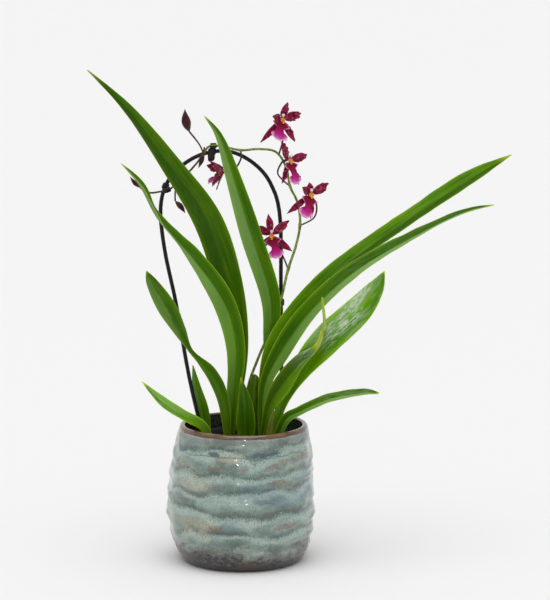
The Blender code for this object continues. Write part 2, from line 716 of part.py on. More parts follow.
def main():
    for old in list(bpy.data.objects):
        bpy.data.objects.remove(old, do_unlink=True)
    wire_rows = smooth_rows([tuple(plant_point(point)) for point in WIRE_ROUTE], WIRE_STEPS)
    wire_route = [Vector(row) for row in wire_rows]
    stem_rows = smooth_rows([tuple(plant_point(point)) for point in STEM_ROUTE], STEM_STEPS)
    stem_route = [Vector(row) for row in stem_rows]
    stem_route[0].z += GAP
    build_cover_pot()
    build_growing_pot()
    build_bark(wire_route)
    build_pseudobulb()
    build_leaves()
    build_spike(stem_route)
    build_buds()
    build_flowers()
    build_support(wire_route, stem_route)


main()
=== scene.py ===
"""The looks of the potted orchid: glazed cover pot, growing pot, bark, leaves, flower spike and support.

Lengths here are millimetres in the row frame; MM turns them into metres when a mesh is made.
Plant points are (x, y, height above the bark), as in the CAD, and -Y is towards the viewer.
"""

import math
import random

import bmesh
import bpy
import numpy as np
from mathutils import Matrix, Vector, noise


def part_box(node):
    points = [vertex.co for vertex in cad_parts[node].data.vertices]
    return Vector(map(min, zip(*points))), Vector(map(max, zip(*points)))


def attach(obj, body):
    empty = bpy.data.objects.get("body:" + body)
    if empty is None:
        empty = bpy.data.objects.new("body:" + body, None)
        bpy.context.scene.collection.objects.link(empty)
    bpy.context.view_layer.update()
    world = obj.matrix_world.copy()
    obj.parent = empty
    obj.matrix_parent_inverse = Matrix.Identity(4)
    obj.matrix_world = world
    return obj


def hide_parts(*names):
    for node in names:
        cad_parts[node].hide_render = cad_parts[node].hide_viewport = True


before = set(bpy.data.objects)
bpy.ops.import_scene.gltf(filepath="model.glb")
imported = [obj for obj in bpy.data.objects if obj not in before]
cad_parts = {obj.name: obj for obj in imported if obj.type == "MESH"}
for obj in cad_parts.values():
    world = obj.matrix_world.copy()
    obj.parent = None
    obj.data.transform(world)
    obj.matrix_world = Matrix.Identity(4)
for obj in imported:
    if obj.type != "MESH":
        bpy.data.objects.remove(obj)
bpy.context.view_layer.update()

MM = 0.001

POT_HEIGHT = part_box("cover_pot")[1].z / MM
BARK_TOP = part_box("bark_mix")[1].z / MM
GROWING_LOW, GROWING_HIGH = (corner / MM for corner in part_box("growing_pot"))

# ---------------------------------------------------------------- the plant's own shape

# Leaf stations: x, y, height, half width, tilt. Tilt 0 faces the viewer and 90 faces up.
LEAVES = {
    "leaf_tall_left": (24, [
        (-13, -3, 0, 5, 0), (-8, -4, 48, 9, 0), (-4, -7, 105, 11.5, 0), (-13, -13, 165, 15.3, 0),
        (-33, -21, 228, 15.8, 5), (-69, -30, 284, 11, 10), (-110, -36, 339, 5.5, 20),
        (-149, -41, 378, 0.6, 30),
    ]),
    "leaf_arching_left": (26, [
        (-13, -9, 0, 5, 0), (-9, -11, 47, 7.5, 0), (-6, -15, 100, 10.5, 0), (-18, -24, 148, 12.2, 5),
        (-48, -36, 193, 10, 35), (-80, -47, 232, 7.3, 65), (-98, -54, 267, 6, 65), (-116, -60, 289, 0.6, 60),
    ]),
    "leaf_upright_centre": (24, [
        (26, 8, 0, 4.5, 0), (26.5, 8, 60, 5.5, 0), (28, 8, 106, 7.5, 0), (28.5, 4, 149, 10.8, 0),
        (9, -8, 214, 11.6, 0), (-9.5, -17, 275, 8, 5), (-22, -22, 312, 4, 10), (-36, -25, 332, 0.6, 10),
    ]),
    "leaf_long_right_upper": (20, [
        (22, 2, 0, 4.5, 0), (21, 1, 57, 5.5, 0), (33, 0, 103, 9, 0), (66, 6, 145, 11, 25),
        (106, 19, 181, 10.5, 45), (168, 33, 223, 10, 50), (228, 43, 262, 9.5, 45), (272, 49, 287, 0.6, 40),
    ]),
    "leaf_long_right_lower": (20, [
        (20, -3, 0, 4.5, 0), (22, -4, 56, 6, 0), (39, -6, 94, 10, 15), (69, -8, 136, 11.7, 40),
        (114, -10, 177, 10.8, 50), (167, -11, 209, 8.8, 65), (217, -11, 234, 5.5, 75),
        (250, -11, 243, 0.6, 60),
    ]),
    "leaf_broad_right": (18, [
        (26, -8, 0, 4, 0), (41.5, -13, 47, 6, 0), (59, -20, 79, 10.8, 10), (84, -28, 109, 16, 20),
        (115.5, -40, 141, 15, 20), (132.5, -48, 165, 9.5, 20), (140, -54, 183, 0.6, 20),
    ]),
    "leaf_folded_right": (34, [
        (19, -14, 0, 4, 0), (27, -18, 40, 7.5, 0), (41, -22, 64, 11.5, 10), (58, -27, 86, 9.5, 30),
        (74, -31, 100, 6, 50), (81, -34, 119, 3.4, 40), (79, -35, 154, 1.5, 40),
    ]),
    "leaf_low_right": (20, [
        (33, -14, 0, 4, 0), (43, -21, 27, 5.5, 20), (58, -29, 38, 5.8, 40), (86, -41, 52.5, 6.5, 50),
        (118, -55, 62, 4.8, 50), (135, -60, 62.5, 1.2, 50),
    ]),
    "leaf_short_left": (22, [
        (-14, -15, 0, 4, 0), (-18, -17, 45, 6.5, 0), (-31, -20, 74, 7, 30), (-51, -23, 96.5, 4.8, 60),
        (-64, -24, 120, 8.3, 40), (-76.5, -24, 145, 10, 15), (-89, -25, 168, 6, 5), (-94, -25, 179, 0.6, 0),
    ]),
    "leaf_low_left": (20, [
        (-30, -12, 0, 3.5, 0), (-39, -19, 21, 5, 15), (-59, -32, 35, 6, 35), (-80, -44, 51.5, 6, 40),
        (-98, -53, 73, 0.6, 40),
    ]),
    "leaf_small_back_left": (22, [
        (-35, 13, 0, 4.5, 0), (-40, 13, 30, 7, 0), (-46, 14, 54, 5, 0), (-50, 16, 77, 0.6, 0),
    ]),
    "leaf_small_front": (26, [
        (4, -24, 0, 6.5, 0), (4, -26, 26, 10.5, 0), (3, -30, 50, 7.6, 0), (-1, -35, 74, 0.6, 0),
    ]),
    "dry_sheath": (30, [
        (26, -26, 0, 3.5, 0), (28, -27, 20, 3, 0), (32, -29, 41, 0.6, 10),
    ]),
}

# How each leaf looks: tone (1 is the middle green), yellow in it, painted grey-green sheen on its lit half,
# brown specks, painted glossy highlight streaks, edge wave, the share of painted shade on its left half (-)
# or right half (+), and where its yellow tip starts
LEAF_LOOKS = {
    "leaf_tall_left": (0.88, 0.10, 0.0, 0.0, 0.02, 0.5, -0.55, 0.93),
    "leaf_arching_left": (1.3, 0.12, 0.75, 0.2, 0.04, 0.6, 0.40, 0.93),
    "leaf_upright_centre": (1.25, 0.10, 0.60, 0.9, 0.04, 0.5, 0.30, 0.93),
    "leaf_long_right_upper": (1.35, 0.15, 0.0, 1.0, 0.03, 0.6, 0.80, 0.93),
    "leaf_long_right_lower": (1.25, 0.05, 1.0, 0.1, 0.05, 0.5, -0.55, 0.93),
    "leaf_broad_right": (1.75, 0.15, 0.4, 0.1, 1.0, 0.9, 0.15, 0.95),
    "leaf_folded_right": (1.25, 0.50, 0.1, 0.0, 0.5, 0.5, -0.95, 0.60),
    "leaf_low_right": (1.40, 0.10, 0.7, 0.1, 0.20, 0.6, -0.55, 0.93),
    "leaf_short_left": (1.0, 0.15, 0.35, 0.2, 0.08, 0.9, 0.20, 0.93),
    "leaf_low_left": (2.0, 0.45, 0.4, 0.1, 0.2, 0.4, -0.20, 0.90),
    "leaf_small_back_left": (1.6, 0.25, 0.3, 0.0, 0.1, 0.3, 0.30, 0.90),
    "leaf_small_front": (0.80, 0.15, 0.0, 0.0, 0.02, 0.3, 0.15, 0.85),
}

# Support and stem
WIRE_ROUTE = [
    (-38, 4, 0), (-53, 4, 66), (-66, 4, 142), (-77, 4, 196), (-81, 4, 237), (-75, 4, 263), (-60, 5, 281),
    (-38, 7, 293), (-12, 9, 295), (12, 10, 283), (29, 11, 262), (38, 12, 228), (39, 12, 150), (40, 12, 0),
]
WIRE_RADIUS = 2.0
WIRE_DEPTH = 60.0
STEM_ROUTE = [
    (6, 14, 0), (5, 13, 50), (15, 13, 83), (31, 13, 120), (39, 7, 146), (46, 3, 177), (54, 1, 202),
    (58, 0, 225), (55, -1, 246), (48, 0, 261), (44, 3, 280), (34, 4, 295), (17, 4, 298), (-1, 3, 297),
    (-20, 2, 301), (-32, 1, 301), (-38, 0, 294), (-45, -1, 284), (-58, -1, 270), (-71, -2, 259),
    (-82, -2, 256), (-92, 0, 255), (-101, 0, 260),
]
STEM_RADIUS = 1.3
PEDICEL_RADIUS = 0.85
# The stem's nodes, as numbers in its route, and how long the bract at each one is
STEM_NODES = [
    (1.0, 9), (3.1, 8), (5.03, 7), (6.85, 6), (9.0, 6), (13.0, 5), (16.0, 4), (18.5, 4), (21.4, 4),
]

# Flowers: centre, yaw (0 faces the viewer, + turns to +X), pitch, pedicel route, and for each of these
# parts its angle round the flower, length, lean forward at its foot and at its tip, and half width
FLOWER_PARTS = ("dorsal_sepal", "left_petal", "right_petal", "left_sepal", "right_sepal", "lip")
FLOWERS = {
    "flower_top": ((39, -1, 328), 25, 0, [(37, 4, 293), (41, 6, 308), (40, 4, 322)], [
        (73, 18.5, 25, 5, 3.9), (163, 18, 48, 20, 4.2), (15, 22, 18, -15, 4.8),
        (228, 31, 0, -22, 3.4), (306, 29, 0, -16, 3.5), (247, 22.5, 30, 8, 10.4),
    ]),
    "flower_upper": ((46, -8, 288), 38, 5, [(48, 0, 261), (36, 2, 273), (39, -1, 284)], [
        (113, 21, 12, -5, 3.8), (136, 20, 34, 8, 4.2), (10, 23, 20, -18, 4.5),
        (256, 24, -5, -20, 3.2), (300, 29, 0, -16, 3.4), (272, 25, 26, 4, 8.4),
    ]),
    "flower_right": ((68, -10, 254), 15, 10, [(58, 0, 222), (72, 1, 230), (74, -3, 244)], [
        (103, 15, 50, 20, 3.9), (146, 16, 50, 25, 4.2), (29, 22, 20, -30, 4.5),
        (217, 30, 0, -20, 3.3), (272, 24, -8, -22, 3.3), (246, 26, 26, 2, 8.6),
    ]),
    "flower_lower": ((29, 3, 212), 8, 0, [(46, 3, 178), (42, 6, 188), (35, 10, 202)], [
        (97, 21.5, 8, -6, 3.6), (148, 20, 24, -4, 4.1), (40, 23, 16, -16, 4.4),
        (232, 26, 0, -18, 3.4), (322, 28, 0, -16, 3.5), (283, 24, 26, 4, 8.8),
    ]),
    "flower_left": ((-18, 3, 277), -72, 0, [(-1, 3, 297), (-1, 5, 288), (-7, 6, 278)], [
        (100, 20, 55, 74, 5.2), (152, 18, 58, 66, 5.2), (30, 18, 56, 66, 5.0),
        (236, 23, 34, 16, 4.6), (286, 22, 34, 20, 4.0), (262, 19, 56, 40, 7.0),
    ]),
}
TEPAL_SHAPE = [0.30, 0.58, 0.86, 1.0, 1.0, 0.92, 0.72, 0.40, 0.08]
LIP_SHAPE = [0.24, 0.72, 0.98, 0.82, 0.50, 0.36, 0.40, 0.66, 0.86, 0.88, 0.68, 0.30]
TEPAL_START = 2.0
PETAL_THICKNESS = 0.55
# How far in front of the column's foot each kind starts, its steps along and across, cup and ruffle
PETAL_SETTINGS = {
    "lip": (2.6, 48, 25, 0.10, 2.4),
    "petal": (0.9, 32, 13, 0.16, 2.0),
    "sepal": (-0.6, 32, 13, 0.22, 1.3),
}
COLUMN_RADII = (1.9, 1.7, 1.5, 1.45, 1.5, 1.2)
# Bumps of the yellow callus: sideways, down and forward from the flower's centre, and size
CALLUS_BUMPS = [(-1.2, 0.4, 4.4, 1.5), (1.2, 0.4, 4.4, 1.5), (0.0, 2.4, 4.7, 1.5), (0.0, -0.6, 4.0, 1.2)]

# Buds: pedicel route, then the bud's tip and half width
BUDS = {
    "bud_upper": ([(-38, 0, 294), (-42, 0, 303), (-52, 0, 316)], (-56, 0, 338), 4.7),
    "bud_at_clip": ([(-38, 0, 294), (-37, -4, 300), (-37, -7, 299), (-38, -7.6, 296)], (-43, -9, 280), 2.5),
    "bud_lower": ([(-64, -1.5, 265), (-66, -4, 256), (-66, -5, 247)], (-56, -7, 235), 2.8),
    "bud_tip": ([(-96, 0, 256), (-99, 0, 258.5), (-101, 0, 260)], (-111, 0, 271), 2.2),
}

# Clips: the points of the wire and of the stem that each one holds together
CLIPS = {
    "clip_top": ((-29, 7, 294), (-28, 1, 301)),
    "clip_left": ((-76, 4, 261), (-74, -2, 258)),
    "clip_right": ((39, 12, 142), (38.5, 7.5, 142)),
}

BULB_CENTRE = (8.5, 4.5)
BULB_LEAN = (4.0, 2.5)
BULB_HALF_WIDTH = 6.5
BULB_HALF_DEPTH = 5.0
BULB_HEIGHT = 70.0
BULB_GREENS = [
    (0.3, (0.030, 0.080, 0.001)), (0.55, (0.070, 0.150, 0.002)), (0.8, (0.160, 0.260, 0.01)),
]
SHEATH_TANS = [(0.3, (0.05, 0.05, 0.01)), (0.55, (0.20, 0.21, 0.04)), (0.8, (0.40, 0.40, 0.14))]


# ---------------------------------------------------------------- shape helpers


def plant_point(point):
    """A plant point, given above the bark, in the row frame in millimetres."""
    return Vector((point[0], point[1], BARK_TOP + point[2]))


def smooth_row(rows, place):
    """The row of numbers at a place from 0 to 1 along a Catmull-Rom curve through the rows."""
    scaled = place * (len(rows) - 1)
    start = min(int(scaled), len(rows) - 2)
    t = scaled - start
    before = rows[max(start - 1, 0)]
    after = rows[min(start + 2, len(rows) - 1)]
    row = []
    for a, b, c, d in zip(before, rows[start], rows[start + 1], after):
        slope_b = (c - a) / 2
        slope_c = (d - b) / 2
        row.append(
            (2 * t**3 - 3 * t**2 + 1) * b + (t**3 - 2 * t**2 + t) * slope_b
            + (3 * t**2 - 2 * t**3) * c + (t**3 - t**2) * slope_c
        )
    return row


def smooth_number(numbers, place):
    return smooth_row([(number,) for number in numbers], place)[0]


def smooth_rows(rows, steps):
    return [smooth_row(rows, step / steps) for step in range(steps + 1)]


def smooth_route(route, steps):
    return [Vector(row) for row in smooth_rows([tuple(plant_point(point)) for point in route], steps)]


def step_between(value, low, high):
    """0 below low, 1 above high, smooth between."""
    t = min(1.0, max(0.0, (value - low) / (high - low)))
    return t * t * (3 - 2 * t)


def face_outwards(work):
    """Makes every closed shell in the mesh face out. On a thin ruffled sheet the recalculation alone can
    settle on the inside, so each shell's signed volume decides."""
    bmesh.ops.recalc_face_normals(work, faces=work.faces)
    for face in work.faces:
        face.tag = False
    for first in work.faces:
        if first.tag:
            continue
        first.tag = True
        island = [first]
        for face in island:
            for edge in face.edges:
                for other in edge.link_faces:
                    if not other.tag:
                        other.tag = True
                        island.append(other)
        volume = 0.0
        for face in island:
            corners = [corner.co for corner in face.verts]
            for second, third in zip(corners[1:], corners[2:]):
                volume += corners[0].dot(second.cross(third))
        if volume < 0:
            bmesh.ops.reverse_faces(work, faces=island)


class Shell:
    """Points, faces and named values per point, gathered before they become one mesh."""

    def __init__(self):
        self.points = []
        self.faces = []
        self.values = {}

    def add(self, points, faces, **values):
        first = len(self.points)
        for name, numbers in values.items():
            known = self.values.setdefault(name, [0.0] * first)
            known.extend(numbers if hasattr(numbers, "__len__") else [numbers] * len(points))
        self.points.extend(tuple(point) for point in points)
        self.faces.extend([tuple(corner + first for corner in face) for face in faces])
        for numbers in self.values.values():
            numbers.extend([0.0] * (len(self.points) - len(numbers)))

    def piece(self, name, surface, nodes=(), sharp=None):
        mesh = bpy.data.meshes.new(name)
        mesh.from_pydata([(x * MM, y * MM, z * MM) for x, y, z in self.points], [], self.faces)
        work = bmesh.new()
        work.from_mesh(mesh)
        face_outwards(work)
        work.to_mesh(mesh)
        work.free()
        for label, numbers in self.values.items():
            attribute = mesh.attributes.new(label, "FLOAT", "POINT")
            attribute.data.foreach_set("value", np.array(numbers, np.float32))
        mesh.materials.append(surface)
        mesh.shade_smooth()
        if sharp is not None:
            mesh.set_sharp_from_angle(angle=math.radians(sharp))
        made = bpy.data.objects.new(name, mesh)
        bpy.context.scene.collection.objects.link(made)
        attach(made, "root")
        if nodes:
            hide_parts(*nodes)
        return made


def angles(sides):
    return [2 * math.pi * side / sides for side in range(sides)]


def loop_faces(low, high, sides):
    """Quads between two rings of points that start at these numbers."""
    steps = [(side, (side + 1) % sides) for side in range(sides)]
    return [(low + side, low + following, high + following, high + side) for side, following in steps]


def stack_faces(rings, sides):
    """Quads between rings of points that follow each other, with a cap on the first and on the last."""
    faces = []
    for ring in range(rings - 1):
        faces += loop_faces(ring * sides, (ring + 1) * sides, sides)
    last = (rings - 1) * sides
    return faces + [tuple(reversed(range(sides))), tuple(range(last, last + sides))]


def add_tube(shell, route, radii, sides=12, oval=1.0, ribs=0, rib_depth=0.0, **values):
    """A closed round tube along the route, with a radius for each of its points."""
    points, shares = [], []
    side = (route[1] - route[0]).normalized().orthogonal().normalized()
    for number, place in enumerate(route):
        ahead = route[min(number + 1, len(route) - 1)]
        turned = (ahead - route[max(number - 1, 0)]).normalized()
        side = (side - turned * side.dot(turned)).normalized()
        lift = turned.cross(side)
        for angle in angles(sides):
            reach = radii[number] * (1 + rib_depth * math.cos(ribs * angle))
            points.append(place + side * (reach * math.cos(angle)) + lift * (reach * oval * math.sin(angle)))
            shares.append(number / (len(route) - 1))
    shell.add(points, stack_faces(len(route), sides), along=shares, **values)


def add_sheet(shell, rows, columns, spot_at):
    """A closed thin sheet. A row is its outward direction, its share of the length, its distance along
    and its half width, with more for spot_at, which gives the sheet's middle at a place across the row
    and how far the sheet's upper and lower sides stand off it."""
    upper, lower = [], []
    values = {"along": [], "run": [], "half": [], "across": []}
    for row in rows:
        out, share, run, half = row[:4]
        for column in range(columns):
            across = 2 * column / (columns - 1) - 1
            place, above, below = spot_at(row, across)
            upper.append(place + out * above)
            lower.append(place - out * below)
            for numbers, number in zip(values.values(), (share, run, half, across)):
                numbers.append(number)
    count = len(upper)
    faces = []
    for row in range(len(rows) - 1):
        for column in range(columns - 1):
            corner = row * columns + column
            quad = (corner, corner + 1, corner + columns + 1, corner + columns)
            faces.append(quad)
            faces.append(tuple(count + quad[number] for number in (0, 3, 2, 1)))
    rim = list(range(columns))
    rim += [row * columns + columns - 1 for row in range(1, len(rows))]
    rim += [(len(rows) - 1) * columns + column for column in range(columns - 2, -1, -1)]
    rim += [row * columns for row in range(len(rows) - 2, 0, -1)]
    for corner, following in zip(rim, rim[1:] + rim[:1]):
        faces.append((corner, corner + count, following + count, following))
    values = {name: numbers + numbers for name, numbers in values.items()}
    shell.add(upper + lower, faces, under=[0.0] * count + [1.0] * count, **values)


def add_ball(shell, centre, axes, radii, rings=10, sides=14, lumps=0.0, seed=0.0, **values):
    """A closed lumpy ellipsoid on these three axes."""
    points = [centre - axes[2] * radii[2]]
    for ring in range(1, rings):
        polar = math.pi * ring / rings
        for angle in angles(sides):
            wide = math.sin(polar)
            unit = Vector((wide * math.cos(angle), wide * math.sin(angle), -math.cos(polar)))
            swell = 1 + lumps * noise.noise(unit * 1.7 + Vector((seed, seed * 2, 0)))
            place = centre.copy()
            for axis, radius, share in zip(axes, radii, unit):
                place += axis * (radius * share * swell)
            points.append(place)
    points.append(centre + axes[2] * radii[2])
    faces = [(0, 1 + (step + 1) % sides, 1 + step) for step in range(sides)]
    for ring in range(rings - 2):
        faces += loop_faces(1 + ring * sides, 1 + (ring + 1) * sides, sides)
    last = 1 + (rings - 2) * sides
    faces += [(last + step, last + (step + 1) % sides, len(points) - 1) for step in range(sides)]
    shell.add(points, faces, **values)


# ---------------------------------------------------------------- material helpers


class Value:
    """A number or colour that a material works out at each point, for use in formulas."""

    def __init__(self, surface, socket):
        self.surface = surface
        self.socket = socket

    def __add__(self, other):
        return self.surface.math("ADD", self, other)

    def __sub__(self, other):
        return self.surface.math("SUBTRACT", self, other)

    def __mul__(self, other):
        return self.surface.math("MULTIPLY", self, other)

    def __truediv__(self, other):
        return self.surface.math("DIVIDE", self, other)

    def __abs__(self):
        return self.surface.math("ABSOLUTE", self)


class Surface:
    """A Principled material and short ways to add nodes to it. Values, numbers and colours mix freely."""

    def __init__(self, name, roughness=0.5, specular=0.5, **settings):
        self.material = bpy.data.materials.new(name)
        self.material.use_nodes = True
        self.tree = self.material.node_tree
        self.shader = self.tree.nodes["Principled BSDF"].inputs
        self.shader["Roughness"].default_value = roughness
        self.shader["Specular IOR Level"].default_value = specular
        for label, value in settings.items():
            self.shader[label.replace("_", " ")].default_value = value
        # Where the point is, in millimetres
        self.place = self.scaled(self.add("TexCoord", {}, "Object"), (1 / MM,) * 3)

    def put(self, socket, value):
        if isinstance(value, Value):
            self.tree.links.new(value.socket, socket)
        elif isinstance(value, tuple) and socket.type == "RGBA":
            socket.default_value = (*value, 1.0)
        else:
            socket.default_value = value

    def add(self, kind, inputs, output=0, **settings):
        """Adds a node with these settings and inputs, and gives one of its outputs."""
        node = self.tree.nodes.new("ShaderNode" + kind)
        for label, value in settings.items():
            setattr(node, label, value)
        for label, value in inputs.items():
            self.put(node.inputs[label], value)
        return Value(self, node.outputs[output])

    def value(self, name):
        return self.add("Attribute", {}, "Fac", attribute_name=name)

    def math(self, operation, a, b=0.0):
        return self.add("Math", {0: a, 1: b}, operation=operation)

    def between(self, value, low, high, start=0.0, end=1.0):
        """start where the value is low, end where it is high, smooth between."""
        inputs = {"Value": value, "From Min": low, "From Max": high, "To Min": start, "To Max": end}
        return self.add("MapRange", inputs, "Result", interpolation_type="SMOOTHSTEP")

    def mix(self, share, a, b, blend="MIX"):
        inputs = {"Factor": share, "A": a, "B": b}
        return self.add("Mix", inputs, "Result", data_type="RGBA", blend_type=blend)

    def scaled(self, vector, scale):
        return self.add("VectorMath", {0: vector, 1: scale}, operation="MULTIPLY")

    def vector(self, x, y, z):
        return self.add("CombineXYZ", {0: x, 1: y, 2: z})

    def axis(self, name):
        """How far the point is along X, Y or Z, in millimetres."""
        return self.add("SeparateXYZ", {0: self.place}, name)

    def noise(self, where, detail=3.0, roughness=0.55, distortion=0.0):
        """Cloudy noise from about 0.3 to 0.7. where is a vector, or the scale of the place per axis."""
        where = where if isinstance(where, Value) else self.scaled(self.place, where)
        inputs = {"Vector": where, "Scale": 1.0, "Detail": detail, "Roughness": roughness}
        return self.add("TexNoise", {**inputs, "Distortion": distortion}, "Fac")

    def grain(self, across_scale, along_scale, shift, detail=3.0, roughness=0.55):
        """Noise that runs lengthwise in a sheet, on its distances across and along."""
        width = self.value("across") * self.value("half")
        where = self.vector(width * across_scale, self.value("run") * along_scale, shift)
        return self.noise(where, detail, roughness)

    def ramp(self, value, stops):
        ramp = self.add("ValToRGB", {"Fac": value}, "Color")
        elements = ramp.socket.node.color_ramp.elements
        while len(elements) < len(stops):
            elements.new(0.5)
        for element, (position, colour) in zip(elements, stops):
            element.position = position
            element.color = (*colour, 1.0)
        return ramp

    def colour(self, value):
        self.base = value
        self.put(self.shader["Base Color"], value)

    def coat(self, share, colour):
        """Covers this share of the colour so far with another colour."""
        self.colour(self.mix(share, self.base, colour))

    def roughness(self, value):
        self.put(self.shader["Roughness"], value)

    def bump(self, height, distance_mm, strength=1.0):
        inputs = {"Height": height, "Distance": distance_mm * MM, "Strength": strength}
        self.put(self.shader["Normal"], self.add("Bump", inputs, "Normal"))


# ---------------------------------------------------------------- leaves

LEAF_STEPS = 84
LEAF_COLUMNS = 17
LEAF_THICKNESS = 0.9
LEAF_RIB_PITCH = 1.05
KEEL_SOFTNESS = 0.14
DEEP_GREEN = (0.013, 0.052, 0.0004)
MID_GREEN = (0.062, 0.190, 0.0008)
LIGHT_GREEN = (0.170, 0.370, 0.003)
YELLOW_GREEN = (0.480, 0.580, 0.040)
OLIVE_BASE = (0.145, 0.230, 0.006)
PAINTED_SHEEN_GREEN = (0.170, 0.290, 0.085)
UNDER_GREEN = (0.13, 0.24, 0.045)
GLOSS_GREEN = (0.58, 0.68, 0.52)
SPECK_BROWN = (0.045, 0.018, 0.004)


def keel(across):
    """How high the blade stands above its midrib, 0 at the midrib and 1 at the edge."""
    edge = math.hypot(1, KEEL_SOFTNESS) - KEEL_SOFTNESS
    return (math.hypot(across, KEEL_SOFTNESS) - KEEL_SOFTNESS) / edge


def leaf_stations(rows, steps, fold_degrees):
    """Rows for add_sheet, with the centre, the sideways direction and the fold of each."""
    rows = smooth_rows(rows, steps)
    centres = [plant_point(row) + Vector((0, 0, LEAF_THICKNESS)) for row in rows]
    stations = []
    run = 0.0
    for number, row in enumerate(rows):
        centre = centres[number]
        if number:
            run += (centre - centres[number - 1]).length
        share = number / steps
        along = (centres[min(number + 1, steps)] - centres[max(number - 1, 0)]).normalized()
        along = along.lerp(Vector((0, 0, 1)), max(0.0, 1 - share * 15)).normalized()
        towards = Vector((0, -1, 0))
        towards = (towards - along * towards.dot(along)).normalized()
        upward = Vector((0, 0, 1))
        upward = upward - along * upward.dot(along)
        upward = upward.normalized() if upward.length > 1e-4 else towards
        tilt = math.radians(row[4])
        out = towards * math.cos(tilt) + upward * math.sin(tilt)
        out = (out - along * out.dot(along)).normalized()
        fold = math.radians(fold_degrees) * (1.0 + 0.9 * max(0.0, 1 - share * 4))
        stations.append((out, share, run, row[3], centre, along.cross(out).normalized(), fold))
    return stations


def add_blade(shell, stations, columns, thickness, wave, seed):
    """A leaf blade: folded along its midrib, thick at the midrib and thin at its wavy edges."""

    def spot_at(station, across):
        _, _, run, half, centre, side, fold = station
        fade = min(1.0, half / 4)
        ripple = noise.noise(Vector((run / 16, across * 0.8 + seed, seed * 3.1)))
        lift = keel(across) * half * math.sin(fold) + wave * ripple * across * across * fade
        place = centre + side * (across * half * math.cos(fold))
        thick = thickness * (1 - 0.72 * abs(across) ** 3) * (0.45 + 0.55 * fade)
        rib = 0.55 * thickness * math.exp(-((across * half) / 1.1) ** 2) * fade
        return place, lift + thick / 2, thick / 2 + rib - lift

    add_sheet(shell, stations, columns, spot_at)


def leaf_surface(name, look, seed):
    tone, yellow, grey, specks, streaks, _, painted_shade_share, tip = look
    s = Surface(name, roughness=0.38, specular=0.05)
    across, along = s.value("across"), s.value("along")
    edge = abs(across)

    def lengthwise(across_scale, along_scale, shift, *settings):
        return s.grain(across_scale, along_scale, seed + shift, *settings)

    veins = lengthwise(0.95, 0.012, 0)
    broad = lengthwise(0.09, 0.020, 7, 2)
    s.colour(s.mix(s.between(veins, 0.28, 0.74, 0.25, 1.0), DEEP_GREEN, MID_GREEN))
    s.coat(s.between(broad, 0.40, 0.75, 0.0, 0.60), tuple(0.6 * c for c in LIGHT_GREEN))
    s.coat(s.between(broad, 0.25, 0.45, 0.35, 0.0), DEEP_GREEN)
    # One half of the folded blade gets painted shade. The other gets a painted grey-green sheen, more so
    # towards the tip.
    sided = across * math.copysign(1.0, painted_shade_share)
    painted_shade_half = s.between(sided, -0.10, 0.16)
    painted_sheen = s.between(sided, 0.05, -0.20) * s.between(along, 0.25, 0.65, 0.35, 1.0)
    s.coat(painted_shade_half * abs(painted_shade_share), DEEP_GREEN)
    s.coat(painted_sheen * grey, PAINTED_SHEEN_GREEN)
    # The thin edges are bright with painted rim light, and the blade is more yellow where it leaves the bark
    # and at its tip.
    s.coat(s.between(edge, 0.60, 1.0, 0.0, 0.25), LIGHT_GREEN)
    s.coat(s.between(edge, 0.955, 0.995, 0.0, 0.80), YELLOW_GREEN)
    s.coat(s.between(along, 0.0, 0.25, 0.30 + yellow * 0.4, yellow * 0.35), OLIVE_BASE)
    s.coat(s.between(along, tip, min(1.0, tip + 0.12), 0.0, 0.6), YELLOW_GREEN)
    if tone != 1.0:
        s.colour(s.mix(1.0, s.base, (tone,) * 3, "MULTIPLY"))
    shine = lengthwise(0.50, 0.085, 3, 5, 0.7)
    shine_here = s.between(along, 0.42, 0.58) * s.between(along, 0.96, 0.84)
    shine_here = shine_here * s.between(lengthwise(0.06, 0.022, 5, 2), 0.30, 0.48)
    # The painted gloss highlight lies on the half that faces the sky.
    shine_here = shine_here * s.between(across, 0.60, 0.05, 0.25, 1.0)
    shine = s.between(shine, 0.42, 0.60) * shine_here
    s.coat(shine * (0.85 * streaks), GLOSS_GREEN)
    s.coat(s.value("under") * 0.55, UNDER_GREEN)
    spot = lengthwise(0.55, 0.36, 11, 3, 0.7)
    spot_here = lengthwise(0.05, 0.026, 13, 1)
    spots = s.between(spot, 0.64, 0.70) * s.between(spot_here, 0.50, 0.58)
    s.coat(spots * (0.9 * specks), SPECK_BROWN)
    s.roughness(s.between(veins, 0.3, 0.7, 0.30, 0.46))
    ribs = s.math("SINE", across * s.value("half") * (2 * math.pi / LEAF_RIB_PITCH))
    s.bump(ribs * 0.18 + veins, 0.35, 0.5)
    return s.material


def build_leaves():
    for seed, (name, look) in enumerate(LEAF_LOOKS.items()):
        fold, rows = LEAVES[name]
        wave = look[5] * 1.6
        surface = leaf_surface(name + "_blade", look, seed * 5.3)
        shell = Shell()
        stations = leaf_stations(rows, LEAF_STEPS, fold)
        add_blade(shell, stations, LEAF_COLUMNS, LEAF_THICKNESS, wave, seed * 2.7)
        shell.piece(name + "_look", surface, [name])


def build_dry_sheath():
    s = Surface("dry_sheath_paper", roughness=0.7, specular=0.05)
    fibres = s.grain(1.6, 0.05, 0.0, 4)
    s.colour(s.ramp(fibres, SHEATH_TANS))
    s.coat(s.between(s.value("along"), 0.0, 0.5, 0.5, 0.0), (0.16, 0.19, 0.03))
    s.bump(fibres, 0.5, 0.7)
    fold, rows = LEAVES["dry_sheath"]
    shell = Shell()
    add_blade(shell, leaf_stations(rows, 40, fold), 11, 0.7, 1.0, 4.4)
    shell.piece("dry_sheath_look", s.material, ["dry_sheath"])


